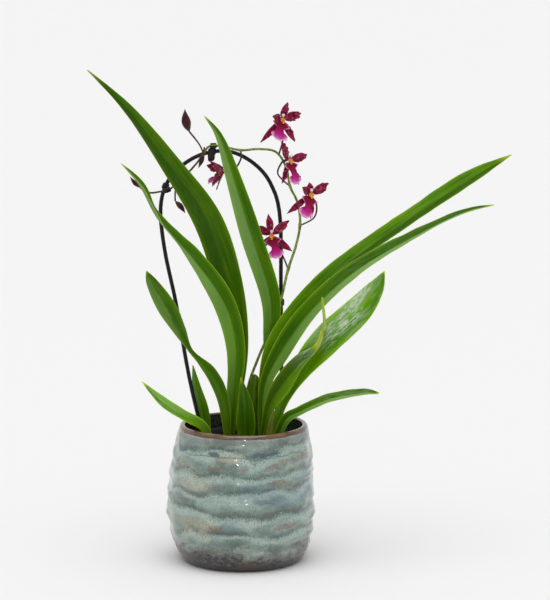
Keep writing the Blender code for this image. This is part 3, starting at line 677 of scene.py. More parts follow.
def build_pseudobulb():
    s = Surface("pseudobulb_skin", roughness=0.38, specular=0.1)
    streak = s.noise((0.5, 0.5, 0.05), 3)
    along = s.value("along")
    s.colour(s.ramp(streak, BULB_GREENS))
    s.coat(s.between(abs(along - 0.93), 0.0, 0.02, 0.8, 0.0), (0.10, 0.06, 0.015))
    s.coat(s.between(along, 0.0, 0.25, 0.7, 0.0), (0.14, 0.15, 0.03))
    s.bump(streak, 0.4, 0.5)
    rings, sides = 48, 40
    points, shares = [], []
    for ring in range(rings + 1):
        share = ring / rings
        size = max(0.10, (0.80 + 0.40 * math.sin(math.pi * share**1.8)) * math.sqrt(1 - share**16))
        for angle in angles(sides):
            rib = 1 + 0.035 * math.cos(9 * angle + 1.5 * math.sin(2 * share)) * (1 - share)
            x = BULB_CENTRE[0] + BULB_LEAN[0] * share + BULB_HALF_WIDTH * size * rib * math.cos(angle)
            y = BULB_CENTRE[1] + BULB_LEAN[1] * share + BULB_HALF_DEPTH * size * rib * math.sin(angle)
            points.append(plant_point((x, y, 0.3 + share * BULB_HEIGHT)))
            shares.append(share)
    shell = Shell()
    shell.add(points, stack_faces(rings + 1, sides), along=shares)
    shell.piece("pseudobulb_look", s.material, ["pseudobulb"])


# ---------------------------------------------------------------- pots and bark

POT_WALL = 5.0
POT_FLOOR = 7.0
POT_OUTLINE = [
    (0, 57.0), (4, 62.0), (12.5, 67.5), (29, 71.6), (46, 74.2), (62, 74.9), (79, 73.0), (91, 72.8),
    (104, 71.4), (116, 68.8), (130, 66.2), (POT_HEIGHT, 63.9),
]
RIDGE_PITCH = 20.5
RIDGE_CREST = 92.0
POT_TURNS = 256
POT_ROWS = 150
RIM_ROUND = 1.9


def pot_outline(height):
    for (low, low_radius), (high, high_radius) in zip(POT_OUTLINE, POT_OUTLINE[1:]):
        if height <= high:
            break
    t = (height - low) / (high - low)
    return low_radius + (high_radius - low_radius) * t


def pot_ridge(height, around):
    """How high a hand-thrown ridge stands, 1 on a crest and -1 in a groove, and its phase, a whole
    number on each crest. The ridges climb and sway round the pot, and fade in and out."""
    sway = 9.0 * noise.noise(around * 1.3 + Vector((0, 0, height / 38)))
    sway += 7.0 * noise.noise(around * 2.8 + Vector((5, 0, height / 22)))
    phase = (height - RIDGE_CREST + sway) / RIDGE_PITCH
    wave = 0.75 * math.cos(2 * math.pi * phase) + 0.25 * math.cos(4 * math.pi * phase + 1.0)
    strength = 1.0 + 1.3 * noise.noise(around * 2.4 + Vector((0, 7, height / 30)))
    return wave * strength, phase


def pot_profile():
    """(zone, height, radius) of each ring of the pot, up the outside, over the rim and down the inside."""
    profile = []
    for row in range(POT_ROWS + 1):
        height = 1.2 + row / POT_ROWS * (POT_HEIGHT - RIM_ROUND - 1.2)
        soft = sum(pot_outline(min(POT_HEIGHT, max(0.0, height + step))) for step in range(-8, 9, 2)) / 9
        sharp = max(step_between(height, 12, 2), step_between(height, POT_HEIGHT - 12, POT_HEIGHT - 2))
        profile.append(("out", height, soft + (pot_outline(height) - soft) * sharp))
    middle = pot_outline(POT_HEIGHT) - POT_WALL / 2
    for step in range(1, 10):
        angle = math.pi * step / 10
        radius = middle + POT_WALL / 2 * math.cos(angle)
        profile.append(("rim", POT_HEIGHT - RIM_ROUND + RIM_ROUND * math.sin(angle), radius))
    for row in range(40):
        height = POT_HEIGHT - RIM_ROUND - row / 39 * (POT_HEIGHT - RIM_ROUND - POT_FLOOR - 6)
        profile.append(("in", height, pot_outline(height) - POT_WALL - 0.6 * step_between(height, 130, 110)))
    profile.append(("in", POT_FLOOR + 2, 52.5))
    profile.append(("in", POT_FLOOR, 49.0))
    return profile


def build_cover_pot():
    points, faces = [], []
    values = {"phase": [], "height": [], "inner": []}

    def add_ring(height, radius, zone):
        fade = step_between(height, 6, 26) * step_between(height, POT_HEIGHT - 3, POT_HEIGHT - 15)
        # The pot isn't quite round: its belly leans to the left and its rim to the right.
        lean = -1.6 * step_between(height, 10, 40) + 3.0 * step_between(height, 70, POT_HEIGHT)
        for angle in angles(POT_TURNS):
            around = Vector((math.cos(angle), math.sin(angle), 0))
            ridge, phase = pot_ridge(height, around)
            reach = radius
            if zone == "out":
                dent = noise.noise(around * 3.2 + Vector((0, 3, height / 15)))
                finger = noise.noise(around * 6.5 + Vector((2, 0, height / 9)))
                reach += fade * (0.85 * ridge + 1.6 * dent + 0.35 * finger)
                reach += 0.16 * noise.noise(around * 13 + Vector((0, 9, height / 6)))
            elif zone == "rim":
                reach += 0.25 * noise.noise(around * 2.0 + Vector((0, 4, 0)))
            points.append((reach * around.x + lean, reach * around.y, height))
            values["phase"].append(phase)
            values["height"].append(height)
            values["inner"].append(1.0 if zone == "in" else 0.0)

    profile = pot_profile()
    for zone, height, radius in profile:
        add_ring(height, radius, zone)
    for ring in range(len(profile) - 1):
        faces += loop_faces(ring * POT_TURNS, (ring + 1) * POT_TURNS, POT_TURNS)
    # Underside: flat, as the pot rests on it, and closed at its middle.
    underside = [(56.6, 0.3), (55.6, 0.0), (49.0, 0.0), (24.0, 0.0)]
    first = len(points)
    for radius, height in underside:
        add_ring(height, radius, "under")
    faces += loop_faces(first, 0, POT_TURNS)
    for ring in range(len(underside) - 1):
        faces += loop_faces(first + (ring + 1) * POT_TURNS, first + ring * POT_TURNS, POT_TURNS)
    for start in (len(points) - POT_TURNS, first - POT_TURNS):
        faces.append(tuple(range(start, start + POT_TURNS)))
    shell = Shell()
    shell.add(points, faces, **values)
    shell.piece("cover_pot_look", glaze_surface(), ["cover_pot"])


# Places where the glaze shows another colour on the front: x, height, half width, half height, slope
BEIGE_PLACES = [(-46, 91, 19, 10, 0.0), (-42, 45, 19, 14, 0.0), (10, 52, 14, 4, 0.0), (-10, 118, 16, 6, 0.0)]
BLUE_PLACES = [(15, 84, 22, 12, 0.0), (48, 74, 24, 10, 0.1), (64, 88, 12, 20, 0.0), (20, 120, 14, 5, 0.0)]
RUST_PLACES = [
    (3, 107.5, 7, 3.2, 0.1), (34, 109, 15, 3.6, 0.32), (61, 113.5, 9, 3.0, 0.1), (38, 91, 13, 4.0, -0.1),
    (-24, 48, 10, 2.8, 0.0), (44, 47.5, 15, 3.2, 0.1), (-26, 106, 8, 2.6, 0.1),
]
WEDGE_PLACES = [
    (-27, 120.0, 6, 3.2, 0.0), (18, 119.5, 7, 3.4, 0.0), (30, 120.5, 9, 2.2, 0.1), (-60, 121, 6, 3, 0.0),
]


def front_places(s, places, wander):
    """1 inside any of these places on the pot's front, fading at their ragged edges."""
    across, height = s.axis("X"), s.axis("Z")
    inside = None
    for x, level, half_width, half_height, slope in places:
        sideways = (across - x) / half_width
        upwards = (height - level - (across - x) * slope) / half_height
        share = s.between(sideways * sideways + upwards * upwards + wander, 1.15, 0.45)
        inside = share if inside is None else s.math("MAXIMUM", inside, share)
    return inside * s.between(s.axis("Y"), 0.0, -20.0)


def glaze_surface():
    """Celadon glaze that pools in the grooves and thins to brown at the rim and foot."""
    s = Surface("pot_glaze_look", roughness=0.2, specular=0.5, Coat_Weight=0.6, Coat_Roughness=0.05)
    height = s.value("height")
    runs = s.noise((0.50, 0.50, 0.17), 4, 0.6)
    flow = s.noise((0.034, 0.034, 0.060), 4, 0.6, 0.8)
    patches = s.noise((0.024, 0.024, 0.052), 3, 0.6, 1.2)
    ragged = s.noise((0.16, 0.16, 0.22), 4, 0.65)
    fine = s.noise((1.25, 1.25, 0.55), 3, 0.7)
    wander = (ragged - 0.5) * 3.4
    stipple = (fine - 0.5) * 0.55
    s.colour(s.mix(s.between(flow, 0.32, 0.66), (0.130, 0.205, 0.172), (0.290, 0.400, 0.345)))
    # Thin glaze is beige and thick glaze is blue-grey.
    beige = front_places(s, BEIGE_PLACES, wander)
    beige = s.math("MAXIMUM", s.between(patches, 0.54, 0.68, 0.0, 0.7), beige)
    s.coat(beige * 0.80, (0.400, 0.380, 0.270))
    blue = front_places(s, BLUE_PLACES, wander)
    blue = s.math("MAXIMUM", s.between(patches, 0.42, 0.28, 0.0, 0.8), blue)
    s.coat(blue * 0.65, (0.150, 0.245, 0.285))
    # The phase, with ragged edges, is 0 on a crest and 0.5 in a groove.
    turn = s.math("FRACT", s.value("phase") + (flow - 0.5) * 0.55 + (ragged - 0.5) * 0.22 + stipple)
    # The upward-facing top of each crest is pale, partly thin milky glaze and partly painted light from
    # above; the downward-facing band under each crest gets painted shade.
    milky_glaze_and_painted_light = s.between(turn, 0.0, 0.20) * s.between(turn, 0.50, 0.30)
    s.coat(milky_glaze_and_painted_light * 0.50, (0.430, 0.530, 0.485))
    painted_shade_under_crest = s.between(turn, 0.42, 0.58) * s.between(turn, 1.0, 0.62)
    painted_shade_under_crest = painted_shade_under_crest * s.between(patches, 0.36, 0.62, 0.95, 0.25)
    s.coat(painted_shade_under_crest, (0.095, 0.122, 0.098))
    groove = s.between(abs(turn - 0.52), 0.02, 0.14, 1.0, 0.0)
    groove = groove * s.between(flow, 0.36, 0.56, 0.70, 0.0)
    s.coat(groove, (0.045, 0.075, 0.062))
    # Rust shows through just above some grooves.
    rust_run = s.noise((0.030, 0.030, 0.10), 4, 0.65, 0.8)
    rust = s.between(rust_run, 0.56, 0.66) * s.between(turn, 0.44, 0.54)
    rust = rust * s.between(turn, 0.88, 0.66)
    rust = s.math("MAXIMUM", rust * 0.7, front_places(s, RUST_PLACES, wander))
    rusty = s.mix(s.between(runs, 0.35, 0.65), (0.160, 0.098, 0.088), (0.290, 0.150, 0.090))
    s.coat(rust * s.between(fine, 0.30, 0.60, 0.25, 0.65), rusty)
    # Fine dark flecks run down the wall, more where the glaze is dark.
    flecks = s.between(fine, 0.48, 0.62) * s.between(runs, 0.35, 0.72, 0.35, 1.0)
    s.coat(flecks * 0.85, (0.040, 0.070, 0.070))
    # A jagged break in the glaze below the rim, with dark wedges on it.
    jag = s.noise((0.075, 0.075, 0.0), 5, 0.75)
    level = height - jag * 12.0
    crack = s.between(abs(level - 112.0), 0.15, 0.75, 0.70, 0.0)
    s.coat(crack, (0.055, 0.090, 0.090))
    wedge = front_places(s, WEDGE_PLACES, wander) * s.between(level, 111.6, 112.2)
    s.coat(wedge * 0.85, (0.060, 0.085, 0.095))
    # The foot: dark clay under mottled runs of glaze.
    foot_edge = height + (patches - 0.5) * 40.0 + (ragged - 0.5) * 18.0
    # The bare clay reaches higher on the left.
    foot_edge = foot_edge - s.between(s.axis("X"), -15.0, -60.0, 0.0, 5.0)
    mottle = s.noise((0.26, 0.26, 0.34), 4, 0.7)
    clay = s.mix(s.between(mottle, 0.46, 0.62), (0.018, 0.010, 0.009), (0.085, 0.095, 0.095))
    clay = s.mix(s.between(s.noise((0.05, 0.05, 0.1), 3), 0.54, 0.64), clay, (0.085, 0.038, 0.020))
    clay = s.mix(s.between(height, 10.0, 2.0, 0.0, 0.8), clay, (0.016, 0.008, 0.006))
    foot = s.between(foot_edge, 24.0, 14.0)
    s.coat(foot, clay)
    haze = s.between(foot_edge, 32.0, 22.0) * s.between(foot_edge, 11.0, 20.0)
    s.coat(haze * 0.45, (0.125, 0.120, 0.095))
    # The rim: the glaze breaks to copper brown on the edge, and the inside is painted dark as painted shade
    # within the pot.
    grain = s.noise((0.05, 0.05, 0.25), 4, 0.6)
    brown = s.mix(s.between(grain, 0.35, 0.65), (0.075, 0.032, 0.008), (0.190, 0.095, 0.032))
    edge = height - POT_HEIGHT + (ragged - 0.5) * 2.5
    purple = s.between(edge, -12.0, -7.0) * s.between(edge, -3.5, -6.5)
    s.coat(purple * 0.45, (0.165, 0.135, 0.130))
    s.coat(s.between(edge, -4.6, -3.8, 0.0, 0.9), (0.050, 0.024, 0.010))
    s.coat(s.between(edge, -3.8, -3.0), brown)
    inside = s.mix(s.between(runs, 0.35, 0.65), (0.020, 0.030, 0.020), (0.070, 0.090, 0.065))
    s.coat(s.between(s.value("inner"), 0.3, 0.9), inside)
    s.roughness(s.between(foot, 0.0, 1.0, 0.20, 0.42))
    s.bump(fine * 0.35 + runs, 0.30, 0.5)
    return s.material


GROWING_TURNS = 96
# How much further in than the cover pot's inside the growing pot's foot stands
GROWING_ROOM = 8.0


def build_growing_pot():
    s = Surface("growing_pot_plastic", roughness=0.5, specular=0.2)
    dust = s.noise((0.10, 0.10, 0.06), 4, 0.6)
    s.colour(s.mix(s.between(dust, 0.45, 0.75, 0.0, 0.5), (0.012, 0.012, 0.013), (0.060, 0.058, 0.052)))
    s.roughness(s.between(dust, 0.4, 0.7, 0.38, 0.65))
    s.bump(s.noise((1.2, 1.2, 1.2), 2), 0.12, 0.4)
    rim, high, low = GROWING_HIGH.x, GROWING_HIGH.z, GROWING_LOW.z
    base = POT_OUTLINE[0][1] - POT_WALL - GROWING_ROOM
    wall = 1.2

    def wall_at(share):
        return base + (rim - 2 - base) * share, low + (high - 5 - low) * share

    profile = [(base - 1.5, low), (base, low + 1.5)] + [wall_at(share) for share in (0.25, 0.5, 0.75, 1.0)]
    profile += [(rim - 0.4, high - 4.6), (rim, high - 4.0), (rim, high - 1.0), (rim - 0.5, high - 0.2)]
    profile += [(rim - 1.2, high), (rim - 2.6, high - 0.3), (rim - 3.2, high - 1.2)]
    for radius, height in [wall_at(share) for share in (0.9, 0.5, 0.1)]:
        profile.append((radius - wall, height + 3))
    profile += [(base - wall - 1.0, low + wall)]
    points, faces = [], []

    def add_ring(radius, height, rib_depth=0.0):
        for angle in angles(GROWING_TURNS):
            reach = radius + rib_depth * math.cos(24 * angle)
            points.append((reach * math.cos(angle), reach * math.sin(angle), height))

    for ring, (radius, height) in enumerate(profile):
        # The thin wall is pressed into shallow ribs below the rim.
        add_ring(radius, height, 0.35 * step_between(height, high - 6, high - 14))
        if ring:
            faces += loop_faces((ring - 1) * GROWING_TURNS, ring * GROWING_TURNS, GROWING_TURNS)
    # The floor is a plate, made as rings round the middle of its two sides.
    for height, previous in ((low, 0), (low + wall, (len(profile) - 1) * GROWING_TURNS)):
        for share in (0.75, 0.5, 0.25):
            first = len(points)
            add_ring((base - 1.5) * share, height)
            faces += loop_faces(previous, first, GROWING_TURNS)
            previous = first
        faces.append(tuple(range(previous, previous + GROWING_TURNS)))
    shell = Shell()
    shell.add(points, faces)
    shell.piece("growing_pot_look", s.material, ["growing_pot"], sharp=45)


CHIP_COUNT = 420
CHIP_CORNERS = 7
CHIP_TILT = 0.35
GOLDEN_ANGLE = 2.39996


def build_bark():
    s = Surface("bark_chips_look", roughness=0.9, specular=0.2)
    grain = s.noise((0.9, 0.25, 0.6), 4, 0.65)
    kind = s.value("kind")
    dark = s.mix(kind, (0.020, 0.010, 0.006), (0.075, 0.036, 0.018))
    light = s.mix(kind, (0.060, 0.030, 0.017), (0.19, 0.11, 0.060))
    s.colour(s.mix(s.between(grain, 0.35, 0.70), dark, light))
    s.bump(grain, 0.8, 0.9)
    rng = random.Random(11)
    shell = Shell()
    reach = GROWING_HIGH.x - 5.0
    # The bed under the chips, with a soft uneven top.
    points = []
    sides = 72
    steps = [(0.98, -40.0), (1.0, -6.0), (0.96, -3.5), (0.8, -2.6), (0.6, -2.2), (0.4, -2.0), (0.2, -2.0)]
    for share, height in steps:
        for angle in angles(sides):
            x, y = reach * share * math.cos(angle), reach * share * math.sin(angle)
            lump = 0.8 * noise.noise(Vector((x / 7, y / 7, 0))) if height > -6 else 0
            points.append((x, y, BARK_TOP + height + lump))
    shell.add(points, stack_faces(len(steps), sides), kind=0.2)
    for number in range(CHIP_COUNT):
        radius = (reach - 5) * math.sqrt((number + 0.5) / CHIP_COUNT)
        angle = number * GOLDEN_ANGLE + rng.uniform(-0.2, 0.2)
        size = rng.uniform(2.6, 5.6)
        height = BARK_TOP - rng.uniform(0.4, 3.2) - 2.0 * step_between(radius, reach - 12, reach)
        centre = Vector((radius * math.cos(angle), radius * math.sin(angle), height))
        turn = Matrix.Rotation(rng.uniform(0, 2 * math.pi), 3, "Z")
        for axis in ("X", "Y"):
            turn = turn @ Matrix.Rotation(rng.gauss(0, CHIP_TILT), 3, axis)
        halves = (size, size * rng.uniform(0.5, 0.85), rng.uniform(0.9, 1.9))
        corners = []
        for level in (-1, 1):
            for angle in angles(CHIP_CORNERS):
                around = angle + 0.3 * rng.uniform(-1, 1)
                stretch = rng.uniform(0.75, 1.05)
                inset = 0.86 if level > 0 else 1.0
                corners.append(centre + turn @ Vector((
                    halves[0] * stretch * inset * math.cos(around),
                    halves[1] * stretch * inset * math.sin(around),
                    halves[2] * level * rng.uniform(0.7, 1.0),
                )))
        shell.add(corners, stack_faces(2, CHIP_CORNERS), kind=rng.random())
    shell.piece("bark_mix_look", s.material, ["bark_mix"], sharp=30)


# ---------------------------------------------------------------- stem, buds and flowers


def stem_surface(name, maroon):
    """Green stem that turns purple-brown towards its tip, or a maroon pedicel."""
    s = Surface(name, roughness=0.38, specular=0.15)
    speckle = s.noise((0.5, 0.5, 0.25), 3, 0.6)
    along = s.value("along")
    green = s.mix(s.between(speckle, 0.35, 0.7), (0.10, 0.15, 0.02), (0.30, 0.38, 0.08))
    brown = s.mix(s.between(speckle, 0.35, 0.7), (0.030, 0.012, 0.010), (0.13, 0.06, 0.035))
    if maroon:
        s.colour(s.mix(s.between(along, 0.0, 0.5, 0.35, 0.0), brown, (0.12, 0.10, 0.03)))
        s.coat(s.between(along, 0.45, 1.0, 0.0, 0.6), (0.14, 0.010, 0.030))
    else:
        wander = along + (speckle - 0.5) * 0.25
        s.colour(s.mix(s.between(wander, 0.66, 0.84), green, brown))
        s.coat(s.between(wander, 0.12, 0.0, 0.0, 0.6), (0.13, 0.075, 0.03))
    s.coat(s.value("bract") * 0.7, (0.30, 0.24, 0.12))
    s.bump(speckle, 0.25, 0.4)
    return s.material


def route_place(route, number):
    """The point and the direction at a place given as a number in the route's own points."""
    rows = [tuple(plant_point(point)) for point in route]
    share = number / (len(rows) - 1)
    here = Vector(smooth_row(rows, share))
    there = Vector(smooth_row(rows, min(1.0, share + 0.004)))
    before = Vector(smooth_row(rows, max(0.0, share - 0.004)))
    return here, (there - before).normalized()


def stem_taper(share):
    return 1.1 - 0.38 * share


def build_stem():
    shell = Shell()
    steps = 330
    route = smooth_route(STEM_ROUTE, steps)
    nodes = [number / (len(STEM_ROUTE) - 1) for number, _ in STEM_NODES]
    radii = []
    for number in range(len(route)):
        share = number / steps
        swell = sum(math.exp(-((share - node) / 0.006) ** 2) for node in nodes)
        radii.append(STEM_RADIUS * stem_taper(share) * (1 + 0.26 * swell))
    add_tube(shell, route, radii, 14, bract=0.0)
    for turn, (number, length) in enumerate(STEM_NODES):
        place, along = route_place(STEM_ROUTE, number)
        side = along.orthogonal().normalized()
        side = Matrix.Rotation(turn * 2.4 + 1.0, 3, along) @ side
        ends = [place + along * (length * t) + side * (0.25 + 0.9 * t * t) for t in (0, 0.25, 0.5, 0.75, 1.0)]
        thin = stem_taper(number / (len(STEM_ROUTE) - 1))
        add_tube(shell, ends, [width * thin for width in (1.62, 1.72, 1.35, 0.75, 0.15)], 12, 0.8, bract=1.0)
    shell.piece("stem_look", stem_surface("stem_skin", False), ["flower_spike"])


def build_pedicels():
    surface = stem_surface("pedicel_skin", True)
    for name, (centre, yaw, pitch, route, _) in FLOWERS.items():
        forward = flower_axes(yaw, pitch)[2]
        middle = plant_point(centre)
        path = [tuple(plant_point(point)) for point in route]
        path += [tuple(middle - forward * 4.0), tuple(middle - forward * 0.5)]
        rows = [Vector(row) for row in smooth_rows(path, 40)]
        ovary = [math.exp(-((number / 40 - 0.72) / 0.16) ** 2) for number in range(41)]
        radii = [PEDICEL_RADIUS * (1 + 0.55 * swell) for swell in ovary]
        shell = Shell()
        add_tube(shell, rows, radii, 12, 1.0, 6, 0.05, bract=0.0)
        shell.piece(name + "_pedicel", surface)
    # The bud at the stem's tip needs none.
    for name in ("bud_upper", "bud_at_clip", "bud_lower"):
        route = BUDS[name][0]
        rows = smooth_route(route, 20)
        radii = [PEDICEL_RADIUS * (0.85 + 0.25 * number / 20) for number in range(21)]
        shell = Shell()
        add_tube(shell, rows, radii, 10, bract=0.0)
        shell.piece(name + "_pedicel", surface)


BUD_SHAPE = [0.26, 0.60, 0.86, 1.0, 0.97, 0.80, 0.55, 0.28, 0.05]


def build_buds():
    s = Surface("bud_skin", roughness=0.42, specular=0.15)
    veins = s.noise((0.7, 0.7, 0.18), 3, 0.6)
    along = s.value("along")
    s.colour(s.mix(s.between(veins, 0.35, 0.65), (0.022, 0.004, 0.008), (0.075, 0.015, 0.022)))
    s.coat(s.between(along, 0.35, 0.0, 0.0, 0.7), (0.085, 0.065, 0.030))
    s.coat(s.between(along, 0.85, 1.0, 0.0, 0.5), (0.16, 0.05, 0.06))
    s.bump(veins, 0.3, 0.5)
    for name, (route, tip, half_width) in BUDS.items():
        base = plant_point(route[-1])
        tip = plant_point(tip)
        along_bud = (tip - base).normalized()
        start = base + along_bud * 0.3
        bow = Vector((-along_bud.z, 0, along_bud.x)) * (0.05 * (tip - start).length)
        shares = [step / 28 for step in range(29)]
        rows = [start.lerp(tip, share) + bow * math.sin(math.pi * share) for share in shares]
        radii = [half_width * smooth_number(BUD_SHAPE, share) for share in shares]
        shell = Shell()
        add_tube(shell, rows, radii, 24, 0.88, 3, 0.07)
        shell.piece(name + "_look", s.material, [name])


def flower_axes(yaw, pitch):
    """The flower's right, up and forward directions."""
    turn = Matrix.Rotation(math.radians(yaw), 3, "Z")
    forward = turn @ Vector((0, -1, 0))
    right = turn @ Vector((1, 0, 0))
    forward = Matrix.Rotation(math.radians(-pitch), 3, right) @ forward
    up = forward.cross(right)
    if up.z < 0:
        up = -up
    return right, up, forward


def add_petal(shell, axes, centre, look, shape, offset, steps, columns, cup, ruffle, seed):
    """One tepal or lip that leaves the column, leans forward and curls back to its tip."""
    right, up, forward = axes
    angle, length, lean_foot, lean_tip, half_width = look
    around = math.radians(angle)
    outward = right * math.cos(around) + up * math.sin(around)
    side = forward.cross(outward).normalized()
    place = centre + outward * TEPAL_START + forward * offset
    rows = []
    for step in range(steps + 1):
        share = step / steps
        lean = math.radians(lean_foot + (lean_tip - lean_foot) * share**1.3)
        out = forward * math.cos(lean) - outward * math.sin(lean)
        rows.append((out, share, share * length, half_width * smooth_number(shape, share), place))
        stride = (length - TEPAL_START) / steps
        place = place + (outward * math.cos(lean) + forward * math.sin(lean)) * stride

    def spot_at(row, across):
        _, share, _, half, middle = row
        phase = share * 9.0 + seed
        frill = noise.noise(Vector((phase, 1.5 if across > 0 else -1.5, seed)))
        frill += 0.5 * noise.noise(Vector((phase * 2.3, across * 2, seed + 9)))
        lift = cup * half * abs(across) ** 1.6 + ruffle * frill * across * across
        reach = half * (1 + 0.10 * frill * (abs(across) > 0.8))
        spot = middle + side * (across * reach) + outward * (ruffle * 0.5 * frill * abs(across))
        half_thick = PETAL_THICKNESS * (1 - 0.6 * across * across) / 2
        return spot, half_thick + lift, half_thick - lift

    add_sheet(shell, rows, columns, spot_at)


def tepal_surface():
    """Crimson with darker blotches, brighter ruffled edges and a dusty mauve back."""
    s = Surface("tepal_velvet", roughness=0.5, specular=0.10, Sheen_Weight=0.05, Sheen_Roughness=0.4)
    across, along = s.value("across"), s.value("along")
    blotch = s.noise((0.22, 0.22, 0.22), 3, 0.65)
    veins = s.grain(1.5, 0.12, 3.0)
    edge = abs(across)
    s.colour(s.mix(s.between(veins, 0.3, 0.7), (0.150, 0.001, 0.020), (0.330, 0.004, 0.060)))
    s.coat(s.between(blotch, 0.47, 0.60, 0.0, 0.85), (0.036, 0.003, 0.008))
    dusty = s.noise((0.34, 0.34, 0.34), 3, 0.6, 1.0)
    s.coat(s.between(dusty, 0.52, 0.66, 0.0, 0.55), (0.460, 0.170, 0.230))
    s.coat(s.between(edge, 0.70, 1.0, 0.0, 0.65), (0.42, 0.045, 0.120))
    s.coat(s.between(along, 0.88, 1.0, 0.0, 0.5), (0.055, 0.010, 0.014))
    back = s.mix(s.between(blotch, 0.35, 0.65), (0.36, 0.090, 0.130), (0.17, 0.015, 0.040))
    s.coat(s.value("under") * 0.85, back)
    s.bump(veins, 0.25, 0.5)
    return s.material


def lip_surface():
    """Dark crimson body, magenta waist, and a lilac flare that pales to a white frilled edge."""
    s = Surface("lip_satin", roughness=0.45, specular=0.10, Sheen_Weight=0.05, Sheen_Roughness=0.4)
    across, along = s.value("across"), s.value("along")
    veins = s.grain(0.9, 0.16, 8.0)
    edge = abs(across)
    reach = along + (veins - 0.5) * 0.22
    s.colour(s.ramp(reach, [
        (0.0, (0.15, 0.001, 0.018)), (0.38, (0.22, 0.001, 0.036)), (0.55, (0.36, 0.003, 0.120)),
        (0.74, (0.44, 0.014, 0.210)), (0.88, (0.50, 0.075, 0.300)), (0.99, (0.72, 0.360, 0.600)),
    ]))
    flare = s.between(edge, 0.50, 0.95) * s.between(along, 0.64, 0.80)
    s.coat(flare * 0.75, (0.84, 0.58, 0.78))
    lobe = s.between(edge, 0.70, 1.0) * s.between(along, 0.42, 0.26)
    s.coat(lobe * 0.8, (0.80, 0.30, 0.56))
    s.coat(s.value("under") * 0.3, (0.50, 0.12, 0.30))
    s.bump(veins, 0.25, 0.4)
    return s.material


def crest_surface(name, deep, bright, spots):
    s = Surface(name, roughness=0.4, specular=0.35)
    grain = s.noise((0.9, 0.9, 0.9), 3)
    s.colour(s.mix(s.between(grain, 0.35, 0.65), deep, bright))
    cells = s.add("TexVoronoi", {"Vector": s.scaled(s.place, (1.1, 1.1, 1.1)), "Scale": 1.0}, "Distance")
    s.coat(s.between(cells, 0.22, 0.30, spots, 0.0), (0.20, 0.01, 0.02))
    s.bump(grain, 0.2, 0.4)
    return s.material


def build_flowers():
    velvet = tepal_surface()
    satin = lip_surface()
    callus = crest_surface("callus_yellow", (0.62, 0.13, 0.010), (0.85, 0.42, 0.030), 0.8)
    anther = crest_surface("anther_white", (0.72, 0.46, 0.50), (0.86, 0.76, 0.74), 0.0)
    column = crest_surface("column_pink", (0.42, 0.05, 0.14), (0.66, 0.28, 0.36), 0.3)
    for seed, (name, (centre, yaw, pitch, _, looks)) in enumerate(FLOWERS.items()):
        axes = right, up, forward = flower_axes(yaw, pitch)
        middle = plant_point(centre)
        for number, (part, look) in enumerate(zip(FLOWER_PARTS, looks)):
            shell = Shell()
            surface, slot, shape = velvet, "tepal", TEPAL_SHAPE
            if part == "lip":
                surface, slot, shape = satin, "lip", LIP_SHAPE
            settings = PETAL_SETTINGS[part.split("_")[-1]]
            add_petal(shell, axes, middle, look, shape, *settings, seed * 3.7 + number * 1.9)
            shell.piece(f"{name}_{part}_look", surface, [f"{name}_{part}"])
        shell = Shell()
        shares = (0, 0.2, 0.4, 0.6, 0.8, 1)
        rows = [middle + forward * (1.6 + 3.6 * t) + up * (5.4 * t - 1.2 * t * t) for t in shares]
        add_tube(shell, rows, COLUMN_RADII, 14)
        shell.piece(name + "_column", column)
        shell = Shell()
        cap = rows[-1] + forward * 0.3 + up * 0.2
        add_ball(shell, cap, (right, forward, up), (1.7, 1.2, 1.5), 10, 14, 0.1, seed)
        shell.piece(name + "_anther_cap", anther)
        shell = Shell()
        for sideways, down, ahead, size in CALLUS_BUMPS:
            spot = middle + right * sideways - up * down + forward * ahead
            radii = (0.95 * size, 0.9 * size, 1.3 * size)
            add_ball(shell, spot, (right, forward, up), radii, 10, 12, 0.25, size + seed)
        shell.piece(name + "_callus", callus)


# ---------------------------------------------------------------- support


def build_support():
    s = Surface("wire_coating", roughness=0.36, specular=0.22)
    wear = s.noise((0.25, 0.25, 0.12), 4, 0.6)
    s.colour(s.mix(s.between(wear, 0.55, 0.75), (0.006, 0.006, 0.0065), (0.022, 0.022, 0.021)))
    s.roughness(s.between(wear, 0.35, 0.7, 0.24, 0.42))
    s.bump(s.noise((0.8, 0.8, 0.8), 2), 0.10, 0.4)
    route = smooth_route(WIRE_ROUTE, 260)
    first = (route[0] - route[1]).normalized()
    last = (route[-1] - route[-2]).normalized()
    route = [route[0] + first * WIRE_DEPTH] + route + [route[-1] + last * WIRE_DEPTH]
    shell = Shell()
    add_tube(shell, route, [WIRE_RADIUS] * len(route), 20)
    shell.piece("support_arch_look", s.material, ["support_arch"])


JAW_STEPS = 28
JAW_SIDES = 8


def add_jaw(shell, centre, axis, open_to, inner, wall, length, gap_degrees):
    """An open ring that grips a rod: a C in section, with rounded lips at its mouth."""
    out = (open_to - axis * open_to.dot(axis)).normalized()
    side = axis.cross(out)
    gap = math.radians(gap_degrees) / 2
    section = []
    for angle in angles(JAW_SIDES):
        rounded = math.copysign(abs(math.sin(angle)) ** 0.4, math.sin(angle))
        section.append((wall / 2 * math.cos(angle), length / 2 * rounded))
    points = []
    for step in range(JAW_STEPS + 1):
        angle = gap + (2 * math.pi - 2 * gap) * step / JAW_STEPS
        direction = out * math.cos(angle) + side * math.sin(angle)
        for thick, along in section:
            points.append(centre + direction * (inner + wall / 2 + thick) + axis * along)
    shell.add(points, stack_faces(JAW_STEPS + 1, JAW_SIDES))


def add_block(shell, centre, axes, halves, power=6.0):
    """A block with well rounded edges."""
    rings, sides = 14, 24
    points = []

    def soft(value):
        return math.copysign(abs(value) ** (2 / power), value)

    for ring in range(1, rings):
        polar = math.pi * ring / rings
        wide, level = soft(math.sin(polar)), -soft(math.cos(polar))
        for angle in angles(sides):
            place = centre.copy()
            shares = (wide * soft(math.cos(angle)), wide * soft(math.sin(angle)), level)
            for axis, half, share in zip(axes, halves, shares):
                place += axis * (half * share)
            points.append(place)
    shell.add(points, stack_faces(rings - 1, sides))


